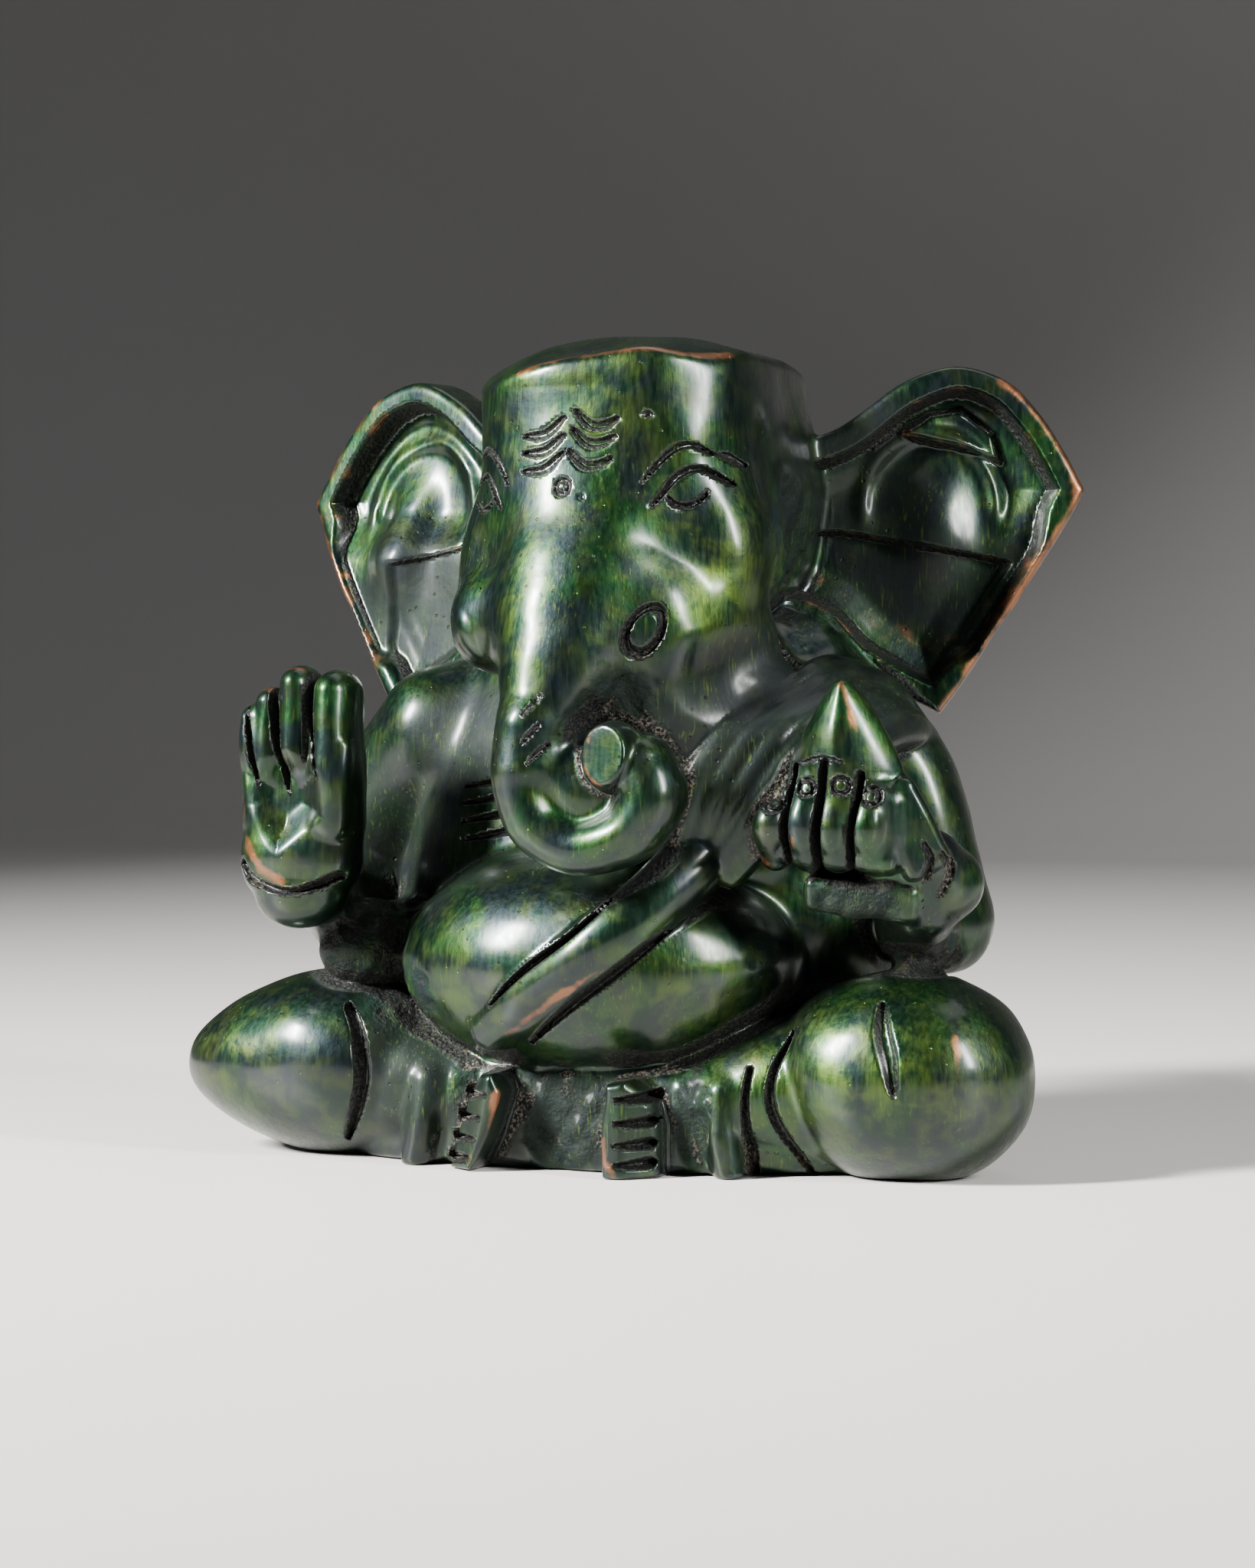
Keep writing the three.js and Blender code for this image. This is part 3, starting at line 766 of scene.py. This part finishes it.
def closeness(p, at, reach, low, high):
    """From 1 in the middle of a spot to 0 beyond it: low and high are where it fades, in reaches squared."""
    return 1 - ramp((((p - at) / reach) ** 2).sum(1), low, high)


def roughness(p):
    """How uneven the metal is at each point, from 0 to 1."""
    rough = np.zeros(len(p))
    for at, reach, depth in ROUGH:
        rough = np.maximum(rough, depth * closeness(p, at, reach, 0.35, 1.3))
    return rough


CARVINGS = [*face_cuts(), *hand_cuts(), *leg_cuts(), *cloth_cuts()]


def solve(p, owners=False, carved=True):
    """The figure's distance at each point, and which mass each point belongs to."""
    total = np.full(len(p), FAR)
    nearest = np.full(len(p), FAR)
    owner = np.zeros(len(p), np.int8)
    for i, (_, shapes) in enumerate(MASSES):
        for (distance, low, high), blend in shapes:
            reach = max(FAR, 1.5 * blend + 1)
            near = ((p > low - reach) & (p < high + reach)).all(1)
            if not near.any():
                continue
            d = distance(p[near])
            total[near] = smooth_min(total[near], d, blend)
            if owners:
                closer = d < nearest[near]
                spots = np.flatnonzero(near)[closer]
                nearest[spots] = d[closer]
                owner[spots] = i
    if carved:
        for carve, low, high in CARVINGS:
            near = ((p > low) & (p < high)).all(1)
            if near.any():
                total[near] = carve(p[near], total[near])
        near = np.abs(total) < 3
        q = p[near]
        total[near] += sum(depth * lumps(q, width, seed) for depth, width, seed in SWELLS)
        total[near] += UNEVEN * roughness(q) * sum(lumps(q, *kind) for kind in UNEVEN_LUMPS)
    total = smooth_max(total, -p[:, 2], 0.6)
    return (total, owner) if owners else total


# ---------------- paint
# Where hands have rubbed the green bright: middle, reach, how much
POLISHED = [
    ((19, -22, 80), (5, 10, 9), 0.9),
    ((-15, -32, 25), (8, 8, 6), 0.3),
    ((-55, -28, 14), (9, 14, 8), 0.42),
    ((42, -32, 15), (18, 14, 8), 0.5),
    ((20, -30, 24), (9, 12, 7), 0.35),
    ((8, -30, 103), (16, 8, 8), 0.25),
    ((-4, -38, 78), (3, 10, 14), 0.3),
    ((38, -35, 52), (7, 6, 4), 0.3),
    ((-40, -33, 46), (8, 5, 5), 0.25),
]
# Painted shade, with some soot: spots that lie in shade behind and under other parts, painted near-black and
# made matte: middle, reach
SHADED_SOOTY_SPOTS = [
    ((-38, 12, 78), (14, 14, 10)),
    ((40, 12, 80), (18, 14, 10)),
    ((32, 10, 92), (12, 10, 16)),
    ((-22, -8, 58), (12, 16, 9)),
    ((-36, -10, 44), (9, 17, 14)),
    ((-35, -14, 28), (10, 16, 7)),
    ((20, -22, 58), (12, 16, 12)),
    ((8, -30, 62), (8, 14, 7)),
    ((0, -26, 7), (26, 14, 7)),
    ((-24, -26, 12), (8, 14, 12)),
    ((38, -20, 36), (12, 12, 6)),
    ((25, 2, 88), (4, 12, 14)),
    ((23, -16, 66), (12, 13, 10)),
    ((34, -6, 62), (12, 16, 8)),
]


EDGE_POINTS = slice(25, 66, 4)  # of an ear's outline, from above its tip to its bottom corner


def ear_edge(side):
    """The line along the outer edge of an ear's front."""
    u, v = ear_outline()[EDGE_POINTS].T
    root, out, front = ear_plane(side)
    return root + np.outer(u, out) - np.outer(EAR_TILT * (v - EAR_MIDDLE), front) + np.outer(v, (0, 0, 1))


CROWN_EDGE = [(-15, -25.8), (-10, -26.4), (-4, -26.4), (2, -26.4)]
CROWN_EDGE += [(8, -26.3), (12, -24.8), (16, -21.6), (19, -17)]
# Where handling has worn the green through to the metal: lines, and how far it is worn to each side
WORN = [
    ([(x, y, crown(x, y) + 0.3) for x, y in CROWN_EDGE], 0.9),
    (ear_edge(-1), 1.0),
    (ear_edge(1), 1.4),
    ([(-47.6, -31, 50), (-46.8, -32, 45), (-44, -33, 41), (-40.4, -33.6, 38.9)], 0.8),
    ([(-44.6, -29, 65.4), (-42.9, -29.5, 65.6)], 0.8),
    ([(-41.4, -30, 68), (-38, -30, 68.2)], 0.8),
    ([(28.0, -30, 48.4), (27.4, -30, 45.4), (28.4, -30, 42.2)], 0.8),
    ([(33.2, -33.4, 46), (32.8, -32.4, 43)], 0.4),
    ([(44.4, -30, 51), (46.6, -29, 47), (48.6, -28, 43.6)], 0.8),
    ([(38.9, -30.4, 65.5), (40.8, -31.6, 61.5), (42.6, -32.2, 58.2)], 0.7),
    ([(-8, -34.4, 17.4), (-2, -36.6, 21.4), (5, -37, 26.6), (11, -34.6, 32)], 0.8),
    ([(53.5, -27, 20), (53.8, -27.8, 15), (53, -27.5, 11)], 0.8),
    ([(7.2, -34, 5), (7.3, -34, 2.5), (8.6, -34.2, 0.6)], 1.0),
    ([(-8.2, -34, 10.8), (-8.8, -34, 6), (-11, -34.4, 1.6), (-13, -34, 0.6)], 0.8),
    ([(9.9, -42, 52), (7.0, -41.8, 55), (8.0, -41.6, 59.6)], 0.5),
]


def wear(points):
    """How far the green is worn through at each point, from 0 to 1."""
    worn = np.zeros(len(points))
    for line, width in WORN:
        path = spline(line, 3)
        reach = 3 * width
        near = ((points > path.min(0) - reach) & (points < path.max(0) + reach)).all(1)
        away = line_distance(path, points[near])
        worn[near] = np.maximum(worn[near], np.exp(-((away / width) ** 2)))
    return worn


def paint(points):
    """How far each surface point was rubbed bright by hand, left rough, or painted with shade and soot, from
    0 to 1.
    """
    rubbed = np.zeros(len(points))
    for at, reach, strength in POLISHED:
        far = (((points - at) / reach) ** 2).sum(1)
        rubbed = np.maximum(rubbed, strength * np.exp(-far))
    shade_and_soot = np.zeros(len(points))
    for at, reach in SHADED_SOOTY_SPOTS:
        shade_and_soot = np.maximum(shade_and_soot, closeness(points, at, reach, 0.3, 1.4))
    return {"polish": rubbed, "rough": roughness(points), "shade_and_soot": shade_and_soot, "worn": wear(points)}


# ---------------- surface
STEP = 0.45  # width of a mesh cell
EDGE_REACH = 0.9  # how deep an edge is felt
COARSE = 4  # fine cells along one coarse cell
CHUNK = 60_000  # points worked out at a time
THREADS = 4
MARGIN = 2.5  # how far the grid goes beyond the CAD box


def joined(rows):
    """One array of each column of arrays."""
    return [np.concatenate(column) for column in zip(*rows)]


def in_chunks(points, work):
    """The array that work makes of the points, or the two arrays, worked out a chunk at a time."""
    pieces = [points[i : i + CHUNK] for i in range(0, len(points), CHUNK)]
    with ThreadPoolExecutor(THREADS) as pool:
        done = list(pool.map(work, pieces))
    return joined(done) if isinstance(done[0], tuple) else np.concatenate(done)


def solve_owned(points):
    return solve(points, owners=True)


def grid_points(low, step, index):
    return low + step * np.stack(np.unravel_index(*index), axis=1)


def sample(low, high):
    """The owner of every grid point, 0 outside the metal, and the distance near the surface."""
    wide = STEP * COARSE
    cells = np.ceil((high - low) / wide).astype(int)
    corners = cells + 1
    spots = grid_points(low, wide, (np.arange(corners.prod()), corners))
    rough, owner = in_chunks(spots, solve_owned)
    label = np.where(rough < 0, owner + 1, 0).reshape(corners)
    rough = rough.reshape(corners)
    near = np.zeros(cells, bool)
    first = label[:-1, :-1, :-1]
    for i in range(8):
        x, y, z = i & 1, i >> 1 & 1, i >> 2 & 1
        part = (slice(x, x + cells[0]), slice(y, y + cells[1]), slice(z, z + cells[2]))
        near |= (np.abs(rough[part]) < wide * 1.3) | (label[part] != first)
    blocks = np.argwhere(near)
    inner = np.stack(np.meshgrid(*[np.arange(COARSE)] * 3, indexing="ij"), -1).reshape(-1, 3)
    index = (blocks[:, None] * COARSE + inner).reshape(-1, 3)
    value, owner = in_chunks(low + STEP * index, solve_owned)
    fine_label = first.repeat(COARSE, 0).repeat(COARSE, 1).repeat(COARSE, 2)
    fine_value = np.where(fine_label > 0, -1.0, 1.0).astype(np.float32)
    at = tuple(index.T)
    fine_value[at] = value
    fine_label[at] = np.where(value < 0, owner + 1, 0)
    return fine_label, fine_value


INNER_SHARE = 1e-6  # weight of a crossing between two masses beside one at the open air


def net(label, value, low):
    """One vertex in each grid cell that holds more than one label, and a quad for each grid edge between
    two labels: (vertices, which of them are outside ones, quads, label behind, label in front)."""
    shape = np.array(label.shape)
    found = []
    for axis in range(3):
        index = np.argwhere(np.diff(label, axis=axis) != 0)
        others = [k for k in range(3) if k != axis]
        index = index[(index[:, others] > 0).all(1)]
        ahead = index.copy()
        ahead[:, axis] += 1
        la, lb = label[tuple(index.T)], label[tuple(ahead.T)]
        va, vb = value[tuple(index.T)], value[tuple(ahead.T)]
        open_air = (la == 0) | (lb == 0)
        share = np.where(open_air, va / np.where(va == vb, 1, va - vb), 0.5)
        place = index.astype(float)
        place[:, axis] += np.clip(share, 0.02, 0.98)
        u, v = (axis + 1) % 3, (axis + 2) % 3
        cells = []
        for du, dv in ((-1, -1), (0, -1), (0, 0), (-1, 0)):
            cell = index.copy()
            cell[:, u] += du
            cell[:, v] += dv
            cells.append(np.ravel_multi_index(cell.T, shape))
        found.append((np.stack(cells, 1), place, open_air, la, lb))
    keys, places, outer, backs, fronts = joined(found)
    cell_ids, quads = np.unique(keys, return_inverse=True)
    quads = quads.reshape(-1, 4)
    count = len(cell_ids)
    total, weight = np.zeros((count, 3)), np.zeros(count)
    share = np.where(outer, 1, INNER_SHARE)
    for corner in range(4):
        weight += np.bincount(quads[:, corner], share, count)
        for k in range(3):
            total[:, k] += np.bincount(quads[:, corner], share * places[:, k], count)
    skin = np.zeros(count, bool)
    skin[quads[outer].ravel()] = True
    return low + STEP * total / weight[:, None], skin, quads, backs, fronts


CORNERS = np.array([(1, -1, -1), (-1, -1, 1), (-1, 1, -1), (1, 1, 1)]) / np.sqrt(3)  # of a tetrahedron
SLOPE_REACH = 0.2  # how far to each side a slope is felt
FINE_REACH = 0.12  # and where points are moved onto the surface


def slope(points, reach, work=solve):
    """The direction in which the distance grows, as a vector whose length is how fast."""
    total = np.zeros_like(points)
    for corner in CORNERS:
        total += corner * in_chunks(points + corner * reach, work)[:, None]
    return total * 3 / len(CORNERS) / reach


def steepness(way):
    """How fast the distance grows along a slope, kept within bounds to divide by."""
    return np.clip(np.linalg.norm(way, axis=1), 0.3, 3)


def settle(points):
    """Moves points onto the surface."""
    start = points.copy()
    for _ in range(2):
        off = in_chunks(points, solve)
        way = slope(points, FINE_REACH)
        points = points - (off / np.maximum((way**2).sum(1), 0.2))[:, None] * way
        points = start + np.clip(points - start, -0.8 * STEP, 0.8 * STEP)
    return points


def readings(points, normals, pace):
    """What the materials need to know of each surface point: how sharp an edge it is on, how fine a hollow
    it is in, and how much of a wide hollow."""

    def uncarved(p):
        return solve(p, carved=False)

    def hollow(reach):
        return np.clip(1 - in_chunks(points + normals * reach, solve) / pace / reach, 0, 1)

    way = slope(points, SLOPE_REACH, uncarved)
    steep = steepness(way)
    inner = points - way / steep[:, None] * EDGE_REACH
    fall = (in_chunks(points, uncarved) - in_chunks(inner, uncarved)) / steep
    edge = np.clip(1 - fall / EDGE_REACH, 0, 1)
    wide = (hollow(2.5) + hollow(5)) / 2
    return {"edge": edge, "fine": hollow(0.8), "wide": wide, **paint(points)}


def stand(name, data):
    """A new object in the scene."""
    made = bpy.data.objects.new(name, data)
    bpy.context.scene.collection.objects.link(made)
    return made


def build_pieces():
    low = np.array(cad_box[0]) / MM - MARGIN - SHIFT
    high = np.array(cad_box[1]) / MM + MARGIN - SHIFT
    label, value = sample(low, high)
    points, skin, quads, backs, fronts = net(label, value, low)
    points[skin] = settle(points[skin])
    normals = np.zeros_like(points)
    way = slope(points[skin], SLOPE_REACH)
    pace = steepness(way)
    normals[skin] = way / pace[:, None]
    facts = readings(points[skin], normals[skin], pace)
    columns = {}
    for name, numbers in facts.items():
        columns[name] = np.zeros(len(points), np.float32)
        columns[name][skin] = numbers
    pieces = {}
    for i, (name, _) in enumerate(MASSES):
        mine, theirs = backs == i + 1, fronts == i + 1
        faces = np.concatenate([quads[mine], quads[theirs][:, ::-1]])
        used, corners = np.unique(faces, return_inverse=True)
        pieces[name] = piece_mesh(
            name,
            (points[used] + SHIFT) * MM,
            corners.reshape(-1, 4),
            normals[used],
            {key: column[used] for key, column in columns.items()},
        )
    return pieces


def piece_mesh(name, points, faces, normals, columns):
    mesh = bpy.data.meshes.new(name + "_cast")
    mesh.vertices.add(len(points))
    mesh.vertices.foreach_set("co", points.astype(np.float32).ravel())
    mesh.loops.add(faces.size)
    mesh.loops.foreach_set("vertex_index", faces.ravel().astype(np.int32))
    mesh.polygons.add(len(faces))
    mesh.polygons.foreach_set("loop_start", np.arange(0, faces.size, 4, dtype=np.int32))
    mesh.update(calc_edges=True)
    mesh.validate()
    for key, column in columns.items():
        mesh.attributes.new(key, "FLOAT", "POINT").data.foreach_set("value", column)
    mesh.polygons.foreach_set("use_smooth", np.ones(len(faces), bool))
    mesh.normals_split_custom_set_from_vertices(normals)
    return stand(name + "_cast", mesh)


# ---------------- materials
class Nodes:
    """A material's node tree, with short calls for the nodes that it uses."""

    def __init__(self, name):
        self.material = bpy.data.materials.new(name)
        self.material.use_nodes = True
        self.tree = self.material.node_tree
        self.shader = self.tree.nodes["Principled BSDF"]
        self.place = self.add("ShaderNodeTexCoord").outputs["Object"]

    def add(self, kind, **settings):
        node = self.tree.nodes.new(kind)
        for key, value in settings.items():
            setattr(node, key, value)
        return node

    def feed(self, socket, value):
        if isinstance(value, bpy.types.NodeSocket):
            self.tree.links.new(value, socket)
        else:
            socket.default_value = value

    def set(self, name, value):
        self.feed(self.shader.inputs[name], value)

    def reading(self, name):
        return self.add("ShaderNodeAttribute", attribute_name=name).outputs["Fac"]

    def math(self, operation, a, b, clamp):
        node = self.add("ShaderNodeMath", operation=operation, use_clamp=clamp)
        self.feed(node.inputs[0], a)
        self.feed(node.inputs[1], b)
        return node.outputs[0]

    def times(self, a, b, clamp=True):
        return self.math("MULTIPLY", a, b, clamp)

    def plus(self, a, b, clamp=True):
        return self.math("ADD", a, b, clamp)

    def most(self, a, b):
        return self.math("MAXIMUM", a, b, True)

    def ramp(self, value, low, high):
        node = self.add("ShaderNodeMapRange", interpolation_type="SMOOTHSTEP")
        for socket, number in zip(node.inputs, (value, low, high)):
            self.feed(socket, number)
        return node.outputs[0]

    def mix(self, share, a, b):
        node = self.add("ShaderNodeMix", data_type="RGBA")
        for index, value in ((0, share), (6, a), (7, b)):
            self.feed(node.inputs[index], value)
        return node.outputs[2]

    def blend(self, share, a, b):
        node = self.add("ShaderNodeMix", data_type="FLOAT")
        for index, value in ((0, share), (2, a), (3, b)):
            self.feed(node.inputs[index], value)
        return node.outputs[0]

    def grain(self, size, stretch=(1, 1, 1), turn=(0, 0, 0), detail=3, twist=0):
        """Noise with lumps of a size in millimetres, drawn out along X, Y or Z."""
        lay = self.add("ShaderNodeMapping")
        lay.inputs["Scale"].default_value = [1 / s for s in stretch]
        lay.inputs["Rotation"].default_value = np.radians(turn)
        self.feed(lay.inputs["Vector"], self.place)
        noise = self.add("ShaderNodeTexNoise")
        self.feed(noise.inputs["Vector"], lay.outputs[0])
        noise.inputs["Scale"].default_value = 1 / (size * MM)
        noise.inputs["Detail"].default_value = detail
        noise.inputs["Distortion"].default_value = twist
        return noise.outputs["Fac"]

    def pits(self, size):
        """Nearness to the middles of scattered pits, one in each cell of a size in millimetres."""
        cells = self.add("ShaderNodeTexVoronoi")
        self.feed(cells.inputs["Vector"], self.place)
        cells.inputs["Scale"].default_value = 1 / (size * MM)
        return cells.outputs["Distance"]

    def bump(self, height, depth, below=None):
        """Raises the surface by a depth in millimetres where height is 1."""
        node = self.add("ShaderNodeBump")
        node.inputs["Distance"].default_value = depth * MM
        self.feed(node.inputs["Height"], height)
        if below:
            self.feed(node.inputs["Normal"], below)
        return node.outputs[0]


def colour(red, green, blue):
    return (red, green, blue, 1)


DEEP_GREEN = colour(0.002, 0.013, 0.006)
LEAF_GREEN = colour(0.006, 0.044, 0.007)
BLUE_BLACK = colour(0.006, 0.010, 0.013)
YELLOW_GREEN = colour(0.075, 0.115, 0.014)
# near-black of painted shade, with some soot
SHADE_SOOT_COLOUR = colour(0.006, 0.008, 0.008)
DUST = colour(0.120, 0.100, 0.078)
COPPER = colour(0.210, 0.080, 0.034)
OLIVE = colour(0.030, 0.042, 0.006)


def patina(name, greenness, polish, dust):
    """Green patina over cast brass: cloudy where it was dabbed on, rubbed through to yellow-green on the
    high places and to coppery metal along the edges, with pale dust left in the hollows, and painted shade,
    with some soot, darkening the hollows and the shaded spots to near-black."""
    n = Nodes(name)
    edge, fine, wide = (n.reading(key) for key in ("edge", "fine", "wide"))
    rubbed, rough, shade_and_soot, worn = (n.reading(key) for key in ("polish", "rough", "shade_and_soot", "worn"))
    clouds = n.grain(12, detail=3, twist=0.8)
    dabs = n.grain(3.4, detail=7, twist=0.5)
    strokes = n.grain(0.7, stretch=(1, 1, 5), turn=(35, 50, 25), detail=6)
    flecks = n.grain(0.4, detail=3)
    shades = n.grain(8.5, detail=5, twist=0.8)

    leafy = n.plus(n.times(clouds, 0.5), n.times(dabs, 0.25))
    leafy = n.ramp(n.plus(leafy, n.times(strokes, 0.08)), 0.35, 0.54)
    base = n.mix(n.times(leafy, greenness), DEEP_GREEN, LEAF_GREEN)
    base = n.mix(n.times(n.ramp(shades, 0.40, 0.66), 0.85), base, BLUE_BLACK)
    base = n.mix(n.times(n.ramp(dabs, 0.42, 0.70), 0.4), base, OLIVE)
    patchy = n.plus(n.times(clouds, 0.40), n.times(dabs, 0.45))
    patchy = n.plus(patchy, n.times(strokes, 0.15))
    bright = n.times(n.times(rubbed, polish), n.ramp(patchy, 0.40, 0.62))
    base = n.mix(bright, base, YELLOW_GREEN)

    hollow = n.plus(n.times(wide, 1.15), n.times(fine, 0.7))
    hollow = n.plus(hollow, n.times(rough, 0.35))
    # Painted shade: the wide and fine hollows and the rough places are painted near-black where shade falls,
    # with some soot
    hollow_shade = n.ramp(hollow, 0.40, 0.78)
    # Painted shade: near-black is mixed in over the hollows and over the shaded spots
    base = n.mix(n.most(hollow_shade, n.times(shade_and_soot, 0.7)), base, SHADE_SOOT_COLOUR)
    dusty = n.times(n.ramp(hollow, 0.50, 0.85), n.ramp(flecks, 0.45, 0.62))
    base = n.mix(n.times(dusty, dust), base, DUST)

    hairs = n.grain(0.35, stretch=(1, 1, 14), turn=(35, 20, 0), detail=2)
    scratched = n.times(n.ramp(hairs, 0.58, 0.72), n.ramp(clouds, 0.40, 0.60))
    base = n.mix(n.times(scratched, 0.35), base, YELLOW_GREEN)

    ragged = n.times(n.plus(dabs, -0.5, False), 1.8, False)
    bare = n.most(n.times(edge, 0.6), worn)
    bare = n.ramp(n.plus(bare, ragged), 0.35, 0.95)
    base = n.mix(n.times(bare, 0.75), base, COPPER)
    n.set("Base Color", base)

    shiny = n.blend(n.ramp(strokes, 0.30, 0.70), 0.38, 0.50)
    flat = n.ramp(n.plus(n.times(hollow_shade, 0.6), n.times(shade_and_soot, 0.65)), 0.1, 1.0)
    flat = n.most(flat, n.ramp(rough, 0.05, 0.45))
    n.set("Roughness", n.blend(flat, shiny, 0.68))
    n.set("Metallic", n.blend(flat, 0.94, 0.5))
    n.set("Coat Weight", n.blend(flat, 0.55, 0.04))
    n.set("Specular IOR Level", n.blend(flat, 0.5, 0.2))
    n.set("Coat Roughness", n.blend(n.ramp(strokes, 0.3, 0.7), 0.16, 0.25))
    n.set("Coat IOR", 1.5)

    relief = n.bump(hairs, 0.022)
    relief = n.bump(n.grain(3.0, detail=5), 0.16, relief)
    pitted = n.most(n.ramp(n.pits(2.1), 0.06, 0.15), n.ramp(dabs, 0.56, 0.48))
    relief = n.bump(pitted, 0.14, relief)
    coarse = n.plus(n.ramp(hollow, 0.4, 0.9), rough)
    grit = n.times(n.grain(0.6, detail=5), coarse)
    relief = n.bump(grit, 0.5, relief)
    n.set("Normal", relief)
    return n.material


# ---------------- studio
def plain(name, tint, roughness):
    n = Nodes(name)
    cloudy = n.mix(n.grain(60), [c * 0.97 for c in tint[:3]] + [1], tint)
    n.set("Base Color", cloudy)
    n.set("Roughness", roughness)
    return n.material


def floor():
    mesh = bpy.data.meshes.new("floor")
    half, back, sweep, rise = 1.6, 1.4, 0.5, 1.6  # half width, depth, radius of the curve, height
    profile = [(-half, 0), (back - sweep, 0)]
    for turn in np.linspace(0, np.pi / 2, 12)[1:]:
        profile.append((back - sweep + sweep * np.sin(turn), sweep - sweep * np.cos(turn)))
    profile.append((back, rise))
    points = [(x, y, z) for y, z in profile for x in (-half, half)]
    faces = [(2 * i, 2 * i + 1, 2 * i + 3, 2 * i + 2) for i in range(len(profile) - 1)]
    mesh.from_pydata(points, [], faces)
    mesh.polygons.foreach_set("use_smooth", [True] * len(faces))
    mesh.materials.append(plain("pale_floor", colour(0.58, 0.56, 0.53), 0.45))
    stand("floor", mesh)


MIDDLE = Vector((0, 0, 0.06))  # of the figure, where the lights point
NARROW = 80  # spread of a light with a grid in front, in degrees
SKY = (0.75, 0.82, 0.95, 1)
SKY_STRENGTH = 0.07


def softbox(name, where, size, power, spread=180):
    light = bpy.data.lights.new(name, "AREA")
    light.shape = "RECTANGLE"
    light.size, light.size_y = size
    light.energy = power
    light.spread = np.radians(spread)
    made = stand(name, light)
    made.location = where
    way = MIDDLE - made.location
    made.rotation_euler = way.to_track_quat("-Z", "Y").to_euler()


def studio():
    floor()
    softbox("key", (-0.56, -0.54, 0.54), (0.11, 0.28), 12, NARROW)
    softbox("side", (0.72, -0.22, 0.42), (0.08, 0.40), 2.8, NARROW)
    softbox("top", (0.10, 0.25, 0.9), (0.8, 0.3), 1.6)
    world = bpy.data.worlds.new("studio")
    world.use_nodes = True
    world.node_tree.nodes["Background"].inputs["Color"].default_value = SKY
    world.node_tree.nodes["Background"].inputs["Strength"].default_value = SKY_STRENGTH
    bpy.context.scene.world = world


AZIMUTH, PITCH = np.radians(20), np.radians(1.45)
DISTANCE, EYE_HEIGHT, ASIDE = 525, 65, -1.75  # of the camera from the figure's middle, in millimetres


def camera():
    right = np.array([np.cos(AZIMUTH), np.sin(AZIMUTH), 0])
    level = np.array([-np.sin(AZIMUTH), np.cos(AZIMUTH), 0])
    ahead = level * np.cos(PITCH) - (0, 0, np.sin(PITCH))
    up = np.cross(right, ahead)
    spot = (SHIFT + right * ASIDE - level * DISTANCE + (0, 0, EYE_HEIGHT)) * MM
    lens = bpy.data.cameras.new("camera")
    lens.lens = 85
    lens.sensor_width = 36
    lens.clip_start = 0.01
    made = stand("camera", lens)
    rows = np.column_stack([right, up, -ahead, spot])
    made.matrix_world = Matrix([*rows.tolist(), (0, 0, 0, 1)])
    bpy.context.scene.camera = made


# ---------------- the figure
BRIGHT = ("sash", "modak", "right_tusk", "left_tusk")
DARK = ("throat", "base_slab", "shoulder_drape")
DARK += ("right_pleat", "left_pleat", "right_bracelet", "left_bracelet")


def dress(pieces):
    looks = {
        "green_patina": patina("green_patina", 0.75, 0.85, 0.18),
        "bright_patina": patina("bright_patina", 0.95, 1.0, 0.15),
        "dark_patina": patina("dark_patina", 0.35, 0.6, 0.75),
    }
    for name, piece in pieces.items():
        slot = "bright_patina" if name in BRIGHT else "dark_patina" if name in DARK else "green_patina"
        piece.data.materials.append(looks[slot])
        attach(piece, "root")
        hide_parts(name)


studio()
camera()
dress(build_pieces())
